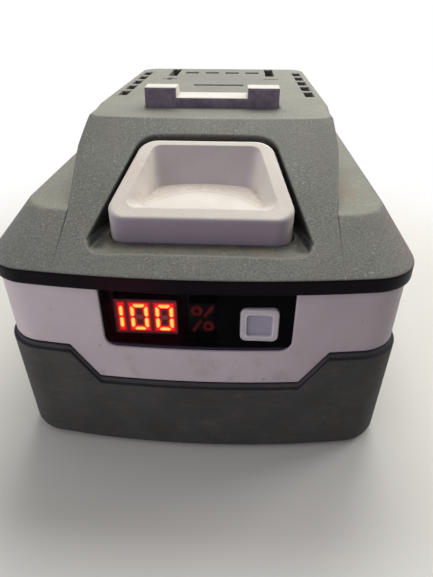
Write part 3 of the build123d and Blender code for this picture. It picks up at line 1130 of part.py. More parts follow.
def foam_pads():
    """Two foam pads at each side, between the paper and the case."""
    inner = CELL_LENGTH / 2 + STRIP_THICKNESS + PAPER_THICKNESS
    pads = []
    for side in (-1, 1):
        for place in (-1, 1):
            middle = (FRAME_FRONT + FRAME_REAR) / 2 + place * (FOAM_GAP + FOAM_WIDTH) / 2
            pads.append(block(side * inner, side * (inner + FOAM_THICKNESS), middle - FOAM_WIDTH / 2,
                              middle + FOAM_WIDTH / 2, LOWER_LAYER - STRIP_REACH, UPPER_LAYER + STRIP_REACH))
    return pads


def main_board():
    """Main board over the rear cells, with holes for its four screws."""
    board = block(-BOARD_WIDTH / 2, BOARD_WIDTH / 2, BOARD_FRONT, BOARD_REAR, BOARD_BOTTOM, BOARD_TOP)
    return board - [upright(x, y, BOARD_BOTTOM - OVERRUN, BOARD_TOP + OVERRUN, BOARD_SCREW_RADIUS + FRAME_GAP)
                    for side in (-1, 1) for x, y in board_screw_places(side)]


def board_screws():
    """Four screws that hold the main board to the posts of the end frames."""
    return [screw(x, y, BOARD_TOP, -1, BOARD_HEAD_HEIGHT, BOARD_HEAD_RADIUS, BOARD_SCREW_RADIUS, BOARD_SCREW_LENGTH)
            for side in (-1, 1) for x, y in board_screw_places(side)]


def contact(x, length, top, sheet, foot_gap, throat, mouth):
    """Folded contact on the board: two leaves that close to a throat and flare out towards +Y."""
    rear = BOARD_REAR - BLOCK_LIP
    front, neck = rear - length, rear - THROAT_LENGTH
    pieces = [block(x - foot_gap / 2 - sheet, x + foot_gap / 2 + sheet, front, front + sheet, BOARD_TOP, top)]
    for side in (-1, 1):
        inner = [(foot_gap / 2, front), (throat / 2, neck), (mouth / 2, rear)]
        outer = [(u + sheet, y) for u, y in reversed(inner)]
        leaf = make_face(Polyline([(x + side * u, y) for u, y in inner + outer], close=True))
        pieces.append(extrude(Pos(0, 0, BOARD_TOP) * leaf, top - BOARD_TOP, dir=(0, 0, 1)))
    return pieces[0] + pieces[1:]


def terminal(side):
    """Power terminal: a tall contact with a slit, so that it grips the tool's blade twice."""
    x, top = side * TERMINAL_SPACING / 2, CEILING - TERMINAL_TOP_GAP
    body = contact(x, TERMINAL_LENGTH, top, TERMINAL_SHEET, TERMINAL_FOOT_GAP, TERMINAL_THROAT, TERMINAL_MOUTH)
    slit = (SLOT_FLOOR + top) / 2
    half = TERMINAL_MOUTH / 2 + TERMINAL_SHEET + OVERRUN
    start = BOARD_REAR - BLOCK_LIP - TERMINAL_LENGTH + TERMINAL_SHEET + THROAT_LENGTH
    return body - block(x - half, x + half, start, BOARD_REAR, slit - TERMINAL_SLIT / 2, slit + TERMINAL_SLIT / 2)


def signal_contacts():
    """Four small contacts between the power terminals."""
    return [contact(x, SIGNAL_LENGTH, BOARD_TOP + SIGNAL_HEIGHT, SIGNAL_SHEET, SIGNAL_FOOT_GAP, SIGNAL_THROAT,
                    SIGNAL_MOUTH) for x in signal_places()]


def terminal_block():
    """Plastic base that holds all the contacts upright on the board."""
    top = BOARD_TOP + BLOCK_HEIGHT
    base = block(-BLOCK_WIDTH / 2, BLOCK_WIDTH / 2, BOARD_REAR - BLOCK_LENGTH, BOARD_REAR, BOARD_TOP, top)
    rear = BOARD_REAR - BLOCK_LIP + BLOCK_GAP
    holes = [(side * TERMINAL_SPACING / 2, TERMINAL_LENGTH, TERMINAL_MOUTH / 2 + TERMINAL_SHEET) for side in (-1, 1)]
    holes += [(x, SIGNAL_LENGTH, SIGNAL_MOUTH / 2 + SIGNAL_SHEET) for x in signal_places()]
    return base - [block(x - half - BLOCK_GAP, x + half + BLOCK_GAP, rear - length - 2 * BLOCK_GAP, rear,
                         BOARD_TOP - OVERRUN, top + OVERRUN) for x, length, half in holes]


def in_row(count, pitch):
    """Places of a centred row along X."""
    return [pitch * (i - (count - 1) / 2) for i in range(count)]


def on_board(x, y, width, length, height):
    """Block that stands on the main board."""
    return block(x - width / 2, x + width / 2, y - length / 2, y + length / 2, BOARD_TOP, BOARD_TOP + height)


def power_transistors():
    """Power transistors at both sides of the control chip, each with its solder tab."""
    row = []
    reaches = [TRANSISTOR_FIRST + TRANSISTOR_PITCH * i for i in range(TRANSISTOR_PAIR_COUNT)]
    for x in [side * reach for side in (-1, 1) for reach in reaches]:
        body = on_board(x, CHIP_PLACE, TRANSISTOR_WIDTH, TRANSISTOR_LENGTH, TRANSISTOR_HEIGHT)
        tab = on_board(x, CHIP_PLACE + TRANSISTOR_TAB, TRANSISTOR_WIDTH - TRANSISTOR_TAB,
                       TRANSISTOR_LENGTH + TRANSISTOR_TAB, TRANSISTOR_HEIGHT / 4)
        row.append(body + tab)
    return row


def control_chip():
    """Control chip with its legs at two sides."""
    chip = on_board(0, CHIP_PLACE, CHIP_WIDTH, CHIP_WIDTH, CHIP_HEIGHT)
    reach = CHIP_WIDTH + 2 * CHIP_LEG_REACH
    return chip + [on_board(x, CHIP_PLACE, CHIP_LEG_WIDTH, reach, CHIP_LEG_HEIGHT)
                   for x in in_row(CHIP_LEG_COUNT, CHIP_LEG_PITCH)]


def current_shunt():
    """Bent metal bridge that measures the current."""
    bridge = on_board(0, SHUNT_PLACE, SHUNT_LENGTH, SHUNT_WIDTH, SHUNT_HEIGHT)
    return bridge - on_board(0, SHUNT_PLACE, SHUNT_LENGTH - 4 * SHUNT_SHEET, SHUNT_WIDTH + OVERRUN,
                             SHUNT_HEIGHT - SHUNT_SHEET)


def board_resistors():
    """Row of small resistors along the front edge of the board."""
    return [on_board(x, RESISTOR_PLACE, RESISTOR_WIDTH, RESISTOR_LENGTH, RESISTOR_HEIGHT)
            for x in in_row(RESISTOR_COUNT, RESISTOR_PITCH)]


def thermistor():
    """Temperature sensor between the board and the top of a cell."""
    y = column_places()[-2]
    bead = block(-BEAD_WIDTH / 2, BEAD_WIDTH / 2, y - BEAD_LENGTH / 2, y + BEAD_LENGTH / 2, CELL_TOP, BOARD_BOTTOM)
    return fillet(bead.edges().filter_by(Axis.Z), BEAD_CORNER)


def display_ribbon():
    """Flat cable from the back of the display board, over the cells, to the underside of the main board."""
    half = RIBBON_THICKNESS / 2
    up = DISPLAY_BOARD_REAR + half
    turn = DISPLAY_BOARD_TOP + RIBBON_RISE
    over = CELL_TOP + half + FIT_GAP
    under_board = BOARD_BOTTOM - half
    route = [(up, DISPLAY_BOARD_TOP - RIBBON_START_DROP), (up, turn), (up + RIBBON_LEAN, over), (BOARD_FRONT, over),
             (BOARD_FRONT + RIBBON_RAMP, under_board), (BOARD_FRONT + RIBBON_RAMP + RIBBON_END, under_board)]
    line = FilletPolyline([(RIBBON_CENTRE, y, z) for y, z in route], radius=RIBBON_BEND)
    section = Plane(origin=line @ 0, x_dir=(1, 0, 0), z_dir=line % 0) * Rectangle(RIBBON_WIDTH, RIBBON_THICKNESS)
    return sweep(section, line)


def sub_parts():
    """Every node by its name."""
    nodes = {
        "upper_case": upper_case(),
        "lower_case": lower_case(),
        "rubber_bumper": rubber_bumper(),
        "release_latch": release_latch(),
        "latch_retainer": latch_retainer(),
        "retainer_screws": retainer_screws(),
        "latch_spring_left": latch_spring(-1),
        "latch_spring_right": latch_spring(1),
        "case_screws": case_screws(),
        "display_lens": display_lens(),
        "check_button": check_button(),
        "check_switch": check_switch(),
        "switch_plunger": switch_plunger(),
        "display_board": display_board(),
        "display_module": display_module(),
        "digit_segments": digit_segments(),
        "unlit_segments": unlit_segments(),
        "percent_module": percent_module(),
        "percent_mark": percent_mark(),
        "display_ribbon": display_ribbon(),
        "cell_insulators": cell_insulators(),
        "cell_holder_left": cell_holder(-1),
        "cell_holder_right": cell_holder(1),
        "insulation_paper_left": insulation_paper(-1),
        "insulation_paper_right": insulation_paper(1),
        "foam_pads": foam_pads(),
        "main_board": main_board(),
        "board_screws": board_screws(),
        "terminal_positive": terminal(-1),
        "terminal_negative": terminal(1),
        "signal_contacts": signal_contacts(),
        "terminal_block": terminal_block(),
        "power_transistors": power_transistors(),
        "control_chip": control_chip(),
        "current_shunt": current_shunt(),
        "board_resistors": board_resistors(),
        "thermistor": thermistor(),
    }
    for column in range(CELL_COLUMNS):
        nodes[f"cell_lower_{column + 1}"] = cell(column, 0)
        nodes[f"cell_upper_{column + 1}"] = cell(column, 1)
    for place in range(CELL_COLUMNS + 1):
        nodes[f"cell_strip_{place + 1}"] = nickel_strip(place)
    return nodes


def save(name, shape):
    """Writes one node, which may be a group of separate solids."""
    node = Compound(children=shape) if isinstance(shape, list) else shape
    node.label = name
    export_step(node, f"parts/{name}.step")


if __name__ == "__main__":
    os.makedirs("parts", exist_ok=True)
    for node_name, node_shape in sub_parts().items():
        save(node_name, node_shape)
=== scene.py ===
"""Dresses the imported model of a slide-on battery pack: plastics, grime, the lit display and the studio."""
import math

import bmesh
import bpy
from bpy.props import FloatProperty, FloatVectorProperty, IntProperty, PointerProperty
from bpy.types import Operator, Panel, PropertyGroup
from mathutils import Matrix, Vector


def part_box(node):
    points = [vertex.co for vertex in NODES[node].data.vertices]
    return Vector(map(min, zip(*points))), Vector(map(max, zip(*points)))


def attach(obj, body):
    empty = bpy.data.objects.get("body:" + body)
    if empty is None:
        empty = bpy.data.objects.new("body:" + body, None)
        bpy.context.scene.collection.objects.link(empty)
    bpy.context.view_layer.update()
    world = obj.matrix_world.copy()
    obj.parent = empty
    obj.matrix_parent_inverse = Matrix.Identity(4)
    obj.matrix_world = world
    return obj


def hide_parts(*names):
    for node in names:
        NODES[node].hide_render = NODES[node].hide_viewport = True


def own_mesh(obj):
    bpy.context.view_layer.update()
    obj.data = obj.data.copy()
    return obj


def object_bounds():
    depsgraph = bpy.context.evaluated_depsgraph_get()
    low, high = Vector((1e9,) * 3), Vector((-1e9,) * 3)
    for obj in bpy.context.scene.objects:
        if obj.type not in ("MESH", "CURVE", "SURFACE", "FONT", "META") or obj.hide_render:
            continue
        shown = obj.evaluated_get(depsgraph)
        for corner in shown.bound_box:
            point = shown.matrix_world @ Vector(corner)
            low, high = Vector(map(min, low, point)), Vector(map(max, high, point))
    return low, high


bl_info = {
    "name": "Battery Pack Finishes",
    "version": (1, 0, 0),
    "blender": (4, 5, 0),
    "location": "3D View > Sidebar > Battery Pack",
    "description": "Finishes, display and studio for a slide-on battery pack",
    "category": "Material",
}

MM = 0.001
UP = (0.0, 0.0, 1.0)
FORWARD = (0.0, -1.0, 0.0)
SIDEWAYS = (1.0, 0.0, 0.0)
BLACK = (0.0, 0.0, 0.0)
WHITE = (1.0, 1.0, 1.0)
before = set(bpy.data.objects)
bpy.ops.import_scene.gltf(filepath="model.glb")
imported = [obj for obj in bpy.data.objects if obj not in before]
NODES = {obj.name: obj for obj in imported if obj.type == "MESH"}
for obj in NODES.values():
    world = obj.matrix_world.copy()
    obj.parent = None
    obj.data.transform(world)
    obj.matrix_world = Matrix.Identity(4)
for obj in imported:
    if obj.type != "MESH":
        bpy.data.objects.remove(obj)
CAD_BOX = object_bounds()

# Places read from the frame
LATCH_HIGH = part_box("release_latch")[1]
CHECK_LOW, CHECK_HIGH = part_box("check_button")
DIGITS_LOW, DIGITS_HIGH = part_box("digit_segments")
BARS_LOW, BARS_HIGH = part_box("unlit_segments")
MODULE_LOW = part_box("display_module")[0]
PERCENT_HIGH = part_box("percent_mark")[1]
LENS_LOW, LENS_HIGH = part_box("display_lens")
BOARD_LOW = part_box("main_board")[0]
CONTACTS_LOW, CONTACTS_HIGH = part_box("signal_contacts")

# Sizes that the finishes follow
LENS_TOP_GAP = 0.1 * MM
SKIRT_HEIGHT = 2.8 * MM
WINDOW_HEIGHT = 12.3 * MM
WINDOW_FOOT = LENS_HIGH.z - WINDOW_HEIGHT
SKIRT_TOP = LENS_HIGH.z + LENS_TOP_GAP + SKIRT_HEIGHT
POCKET_FLOOR_RISE = 1.9 * MM
POCKET_FLOOR = SKIRT_TOP + POCKET_FLOOR_RISE
POCKET_FRONT = -52.5 * MM
POCKET_HALF_WIDTH = 20.4 * MM
SLOPE_FRONT = -57.0 * MM
SLOPE_RISE_SHARE = 0.4765
FRONT_BOW = 3.4 * MM
PACK_HALF_WIDTH = CAD_BOX[1].x
BUTTON_FACE = -47.2 * MM
TONGUE_LENGTH = 8.8 * MM
TONGUE_FRONT = LATCH_HIGH.y - TONGUE_LENGTH
BUTTON_FACE_HEIGHT = 4.4 * MM
RIM_FRONT_TOP = POCKET_FLOOR + BUTTON_FACE_HEIGHT
CHECK_DISH_MARGIN = 1.9 * MM
DIGIT_PITCH = 4.52 * MM
DIGIT_WIDTH = 3.3 * MM
DIGIT_STROKE = BARS_HIGH.z - BARS_LOW.z
DIGIT_MIDDLE = (DIGITS_LOW.z + DIGITS_HIGH.z) / 2
LAST_DIGIT = DIGITS_HIGH.x - DIGIT_WIDTH / 2

# Bands of wear, dirt and light: middle, half width and softness
SHELF_X = (27.6 * MM, 2.0 * MM, 1.8 * MM)
SHELF_Y = (-30 * MM, 5 * MM, 7 * MM)
TONGUE_MARK_X = (14.6 * MM, 0.7 * MM, 0.6 * MM)
TONGUE_MARK_Y = (TONGUE_FRONT, 0.7 * MM, 0.6 * MM)
LANE_Y = (-13 * MM, 3 * MM, 3 * MM)
POCKET_X = (0.0, POCKET_HALF_WIDTH + 0.5 * MM, 0.3 * MM)
POCKET_DUST_Z = (POCKET_FLOOR, 0.7 * MM, 0.5 * MM)
SKIRT_GLOW_X = (-11 * MM, 5 * MM, 5 * MM)
THUMB_X = (0.8 * MM, 1.0 * MM, 1.6 * MM)
THUMB_Z = (20.4 * MM, 0.8 * MM, 1.6 * MM)
RECESS_SIDE_X = (0.0, 13.6 * MM, 0.5 * MM)
RECESS_X = (0.0, 13.4 * MM, 0.6 * MM)
RECESS_Y = (-38.5 * MM, 6.2 * MM, 0.8 * MM)
GRIME_LINE = (-36.4 * MM, 0.25 * MM, 0.35 * MM)
WARM_CORNER_X = (-12.5 * MM, 2.0 * MM, 1.2 * MM)
WARM_CORNER_Y = (-37 * MM, 5 * MM, 3 * MM)
WINDOW_TOP_X = (-12 * MM, 5 * MM, 5 * MM)
WINDOW_TOP_Z = (LENS_HIGH.z - 0.15 * MM, 0.12 * MM, 0.1 * MM)
WINDOW_FOOT_Z = (WINDOW_FOOT + 0.45 * MM, 0.15 * MM, 0.25 * MM)

# Stretches over which a mask rises: start and end
TOP_FACE_PALE_X = (6 * MM, 24 * MM)
LANE_X = (12 * MM, 22 * MM)
POCKET_REAR_Y = (-24.6 * MM, -24.0 * MM)
POCKET_SHADE_Y = (-51.4 * MM, -45.5 * MM)
BESIDE_BUTTON_X = (15.0 * MM, 17.5 * MM)
BESIDE_BUTTON_Y = (-52.0 * MM, -49.4 * MM)
RED_REFLECTION_X = (18 * MM, 25 * MM)
SMUDGE_Z = (20 * MM, 31 * MM)
LEDGE_Z = (6 * MM, 8 * MM)
STAIN_Z = (5 * MM, 12 * MM)
TONGUE_Y = (-20 * MM, -15 * MM)
RECESS_REAR_Y = (-36 * MM, -34 * MM)
RECESS_RIM_Z = (RIM_FRONT_TOP + 1.2 * MM, RIM_FRONT_TOP + 2.6 * MM)
GRIME_ARC = (-36.2 * MM, -34.6 * MM)
GRIME_ARC_BEND = 52.0        # the grime's front edge moves forward by this times the square of X

# Colours of light, shade and dirt
DISPLAY_GLOW = (0.007, 0.0, 0.001)
TOP_FACE_PALE = (0.42, 0.42, 0.34)
SHELF_DIRT = (0.24, 0.17, 0.12)
TONGUE_MARK = (0.11, 0.030, 0.026)
POCKET_SHADE = (0.003, 0.003, 0.004)
PAINTED_RED_REFLECTION = (0.27, 0.135, 0.150)
LEDGE_SHADE = (0.014, 0.010, 0.026)
FOOT_STAIN = (0.085, 0.055, 0.040)
BUTTON_FRONT_SHADE = (0.375, 0.295, 0.43)
RECESS_WALL_LIGHT = (0.92, 0.87, 0.82)
TONGUE_SHADE = (0.115, 0.085, 0.135)
WARM_CORNER = (0.62, 0.42, 0.40)
CHECK_DISH = (0.37, 0.33, 0.47)
CHECK_LIP = (0.92, 0.88, 0.93)

# Rounded copies of the cases and the bumper
WELD = 0.002 * MM
FLAT_TURN = math.radians(0.3)
SHARP_TURN = math.radians(30.0)
ROUND_SEGMENTS = 3
UPPER_CASE_ROUND = 0.30 * MM
LOWER_CASE_ROUND = 0.20 * MM
BUMPER_ROUND = 0.30 * MM

# Solder joints under the signal contacts
JOINT_COLUMNS = 4
JOINT_ROWS = 2
JOINT_ROW_PITCH = 5.2 * MM
CONTACT_SPAN_SHARE = 3.2     # width over the contacts, in shares of their pitch
JOINT_SHARES = (1.0, 1.0, 0.7)

# Grit on the pocket's floor, within margins from its edges
GRIT_SIDE_MARGIN = 2.2 * MM
GRIT_FRONT_MARGIN = 1.3 * MM
GRIT_REAR_MARGIN = 0.3 * MM
GRIT_TAPER = 0.6 * MM
GRIT_LIFT = 0.03 * MM
GRIT_SEED = 11
GRAIN_SHARES = (1.0, 0.75, 0.55)
LEAST_GRAIN_SHARE = 0.35

# Studio in metres: each lamp has its place, width and colour
LAMPS = {
    "key": ((0.05, 0.45, 0.62), 0.50, (1.0, 0.975, 0.87)),
    "fill": ((-0.55, -0.50, 0.24), 0.60, (0.93, 0.89, 1.0)),
    "glint": ((0.46, 0.20, 0.34), 0.22, (1.0, 0.95, 0.93)),
}
LAMP_AIM = (0.0, 0.0, 0.035)
FLOOR_REACH = 3.0
FLOOR_FADE = (0.075, 0.150)
FLOOR_DIM = (0.02, 0.08)

# Camera of the photograph, in millimetres, radians and pixels, with its clipping in metres
CAMERA_PLACE = (6.61026, -121.3046, 79.64488)
CAMERA_YAW = 0.04935
CAMERA_PITCH = 0.55783
CAMERA_ROLL = 0.00127
CAMERA_FOCAL_PX = 471.29
PHOTO_HEIGHT_PX = 577
SENSOR = 36.0
CLIP_START = 0.005
CLIP_END = 20.0


class Sock:
    """Wraps a shader socket or a number, so that shader maths reads as Python expressions."""

    def __init__(self, graph, link):
        self.graph = graph
        self.link = link

    def _math(self, operation, *values):
        node = self.graph.add("ShaderNodeMath", {"operation": operation}, dict(enumerate(values)))
        return Sock(self.graph, node.outputs[0])

    def __add__(self, other):
        return self._math("ADD", self, other)

    def __radd__(self, other):
        return self._math("ADD", other, self)

    def __sub__(self, other):
        return self._math("SUBTRACT", self, other)

    def __rsub__(self, other):
        return self._math("SUBTRACT", other, self)

    def __mul__(self, other):
        return self._math("MULTIPLY", self, other)

    def __rmul__(self, other):
        return self._math("MULTIPLY", other, self)

    def __truediv__(self, other):
        return self._math("DIVIDE", self, other)

    def __rtruediv__(self, other):
        return self._math("DIVIDE", other, self)

    def __pow__(self, other):
        return self._math("POWER", self, other)

    def __abs__(self):
        return self._math("ABSOLUTE", self)

    def least(self, other):
        """The smaller of the two."""
        return self._math("MINIMUM", self, other)

    def most(self, other):
        """The larger of the two."""
        return self._math("MAXIMUM", self, other)

    def ramp(self, start, end):
        """0 up to start, 1 from end on, and an eased step between them."""
        node = self.graph.add("ShaderNodeMapRange", {"interpolation_type": "SMOOTHSTEP"},
                              {"Value": self, "From Min": start, "From Max": end})
        return Sock(self.graph, node.outputs["Result"])


class Graph:
    """A node tree under construction."""

    def __init__(self, tree):
        self.nodes = tree.nodes
        self.links = tree.links

    def add(self, kind, settings=None, inputs=None):
        """Adds a node: its settings are set first, then its sockets get their values or links."""
        node = self.nodes.new(kind)
        for key, value in (settings or {}).items():
            setattr(node, key, value)
        for key, value in (inputs or {}).items():
            self.feed(node.inputs[key], value)
        return node

    def feed(self, socket, value):
        """Links a socket, or sets its plain value."""
        if isinstance(value, Sock):
            value = value.link
        if isinstance(value, bpy.types.NodeSocket):
            self.links.new(value, socket)
        elif socket.type == "RGBA" and len(value) == 3:
            socket.default_value = (*value, 1.0)
        else:
            socket.default_value = value

    def mix(self, mask, low, high):
        """Mixes two colours by a mask."""
        node = self.add("ShaderNodeMix", {"data_type": "RGBA"}, {"Factor": mask, 6: low, 7: high})
        return node.outputs[2]

    def ray(self, kind):
        """Light Path mask for one kind of ray, such as Is Camera Ray."""
        return Sock(self, self.add("ShaderNodeLightPath").outputs[kind])


class Finish(Graph):
    """A material under construction, with short ways to add what the finishes need."""

    def __init__(self, name):
        self.material = bpy.data.materials.new(name)
        self.material.use_nodes = True
        super().__init__(self.material.node_tree)
        self.shader = self.nodes["Principled BSDF"]
        self.output = self.nodes["Material Output"]
        self.place = self.add("ShaderNodeTexCoord").outputs["Object"]
        apart = self.add("ShaderNodeSeparateXYZ", {}, {0: self.place})
        self.x, self.y, self.z = (Sock(self, apart.outputs[axis]) for axis in range(3))

    def set(self, **sockets):
        """Feeds the shader's sockets: Base_Color stands for Base Color."""
        for key, value in sockets.items():
            self.feed(self.shader.inputs[key.replace("_", " ")], value)

    def noise(self, size, detail=2.0, roughness=0.5, stretch=(1.0, 1.0, 1.0)):
        """Cloudy noise from 0 to 1 of about a size, drawn out along an axis where stretch is small."""
        place = self.add("ShaderNodeVectorMath", {"operation": "MULTIPLY"}, {0: self.place, 1: stretch})
        node = self.add("ShaderNodeTexNoise", {}, {"Vector": place.outputs[0], "Scale": 1.0 / size,
                                                   "Detail": detail, "Roughness": roughness})
        return Sock(self, node.outputs["Fac"])

    def cells(self, size):
        """Distance to the nearest of randomly placed points, in shares of their spacing."""
        node = self.add("ShaderNodeTexVoronoi", {}, {"Vector": self.place, "Scale": 1.0 / size})
        return Sock(self, node.outputs["Distance"])

    def facing(self, direction):
        """How far the surface faces a fixed direction, from -1 to 1."""
        normal = self.add("ShaderNodeNewGeometry").outputs["Normal"]
        node = self.add("ShaderNodeVectorMath", {"operation": "DOT_PRODUCT"}, {0: normal, 1: direction})
        return Sock(self, node.outputs["Value"])

    def eased(self, radius):
        """The surface's normal with sharp edges rounded by a radius."""
        return self.add("ShaderNodeBevel", {"samples": 8}, {"Radius": radius}).outputs["Normal"]

    def edges(self, radius):
        """Mask of the sharp edges, where the rounded normal leaves the true one."""
        return 1.0 - self.facing(self.eased(radius)).ramp(0.90, 0.995)

    def creases(self, reach):
        """Mask of inner corners from ambient occlusion, used for painted shade and for dirt there."""
        node = self.add("ShaderNodeAmbientOcclusion", {"samples": 8, "only_local": True}, {"Distance": reach})
        return 1.0 - Sock(self, node.outputs["AO"]).ramp(0.35, 0.95)

    def relief(self, height, depth, base):
        """Normal of a relief over a base normal; depth is for heights from 0 to 1."""
        node = self.add("ShaderNodeBump", {},
                        {"Height": height, "Distance": depth, "Strength": 1.0, "Normal": base})
        return node.outputs["Normal"]

    def closed_in(self, reach):
        """Mask of places that any piece close by shuts off."""
        node = self.add("ShaderNodeAmbientOcclusion", {"samples": 12}, {"Distance": reach})
        return 1.0 - Sock(self, node.outputs["AO"]).ramp(0.30, 0.90)

    def near(self, value, middle, half_width, soft):
        """Mask of a band round a middle value."""
        return 1.0 - abs(value - middle).ramp(half_width - soft, half_width + soft)


def tint(colour, factor):
    """A colour made lighter or darker."""
    return tuple(min(channel * factor, 1.0) for channel in colour)


def dress(finish, *nodes):
    """Gives CAD nodes their finish."""
    for name in nodes:
        mesh = NODES[name].data
        mesh.materials.clear()
        mesh.materials.append(finish.material)


def dress_with(maker, *nodes):
    """Gives CAD nodes the finish that a maker builds from the pack's settings."""
    pack = bpy.context.scene.battery_pack
    dress(maker(pack.colours, pack.sizes), *nodes)


class BatteryPackColours(PropertyGroup):
    """Colours of the pack's pieces."""

    shell: FloatVectorProperty(name="Upper case", description="Grained dark plastic of the upper case",
                               subtype="COLOR", min=0, max=1, default=(0.142, 0.148, 0.140))
    skirt: FloatVectorProperty(name="Skirt", description="Smooth band round the foot of the upper case",
                               subtype="COLOR", min=0, max=1, default=(0.0040, 0.0026, 0.0052))
    lower: FloatVectorProperty(name="Lower case", description="Pale plastic of the lower case",
                               subtype="COLOR", min=0, max=1, default=(0.70, 0.615, 0.675))
    rubber: FloatVectorProperty(name="Bumper", description="Moulded rubber round the foot",
                                subtype="COLOR", min=0, max=1, default=(0.062, 0.062, 0.062))
    latch: FloatVectorProperty(name="Release button", description="Off-white plastic of the latch",
                               subtype="COLOR", min=0, max=1, default=(0.78, 0.74, 0.72))
    check: FloatVectorProperty(name="Check button", description="Pale cap beside the display",
                               subtype="COLOR", min=0, max=1, default=(0.68, 0.62, 0.70))
    dust: FloatVectorProperty(name="Dust", description="Brown workshop dust",
                              subtype="COLOR", min=0, max=1, default=(0.30, 0.235, 0.165))
    lit: FloatVectorProperty(name="Lit bars", description="Core of a lit display bar",
                             subtype="COLOR", min=0, max=1, default=(1.0, 0.50, 0.09))
    glow: FloatVectorProperty(name="Glow", description="Rim of a lit bar and the light round it",
                              subtype="COLOR", min=0, max=1, default=(0.95, 0.004, 0.012))
    film: FloatVectorProperty(name="Cell film", description="Shrink film of the cells",
                              subtype="COLOR", min=0, max=1, default=(0.05, 0.20, 0.36))


class BatteryPackSizes(PropertyGroup):
    """Sizes of what the finishes add, and the strength of the lamps."""

    grain: FloatProperty(name="Grain", description="Size of the grain on the upper case", unit="LENGTH",
                         min=0.0001, max=0.002, default=0.34 * MM)
    grain_depth: FloatProperty(name="Grain depth", description="Depth of that grain", unit="LENGTH",
                               min=0, max=0.0005, default=0.07 * MM)
    edge: FloatProperty(name="Edge softness", description="Radius of the moulded edges", unit="LENGTH",
                        min=0, max=0.003, default=0.55 * MM)
    grit_count: IntProperty(name="Grit", description="Grains of grit on the pocket's floor",
                            min=0, max=600, default=55)
    grit_size: FloatProperty(name="Grit size", description="Size of the largest grain of grit", unit="LENGTH",
                             min=0.00005, max=0.001, default=0.30 * MM)
    solder_size: FloatProperty(name="Solder joints", description="Width of a solder joint under the board",
                               unit="LENGTH", min=0.0002, max=0.003, default=1.5 * MM)
    key: FloatProperty(name="Key lamp", description="Power of the lamp above and behind the pack",
                       unit="POWER", min=0, max=50, default=4.3)
    fill: FloatProperty(name="Fill lamp", description="Power of the lamp in front of the pack", unit="POWER",
                        min=0, max=50, default=0.95)
    glint: FloatProperty(name="Glint lamp", description="Power of the lamp over the pack's right side",
                         unit="POWER", min=0, max=50, default=0.8)


def pocket_depth(f):
    """How far a place lies below the front slope, so that the pocket's walls and floor can be told apart."""
    bow = (f.x / PACK_HALF_WIDTH) ** 2.0 * FRONT_BOW
    return (f.y - SLOPE_FRONT - bow) * SLOPE_RISE_SHARE + SKIRT_TOP - f.z


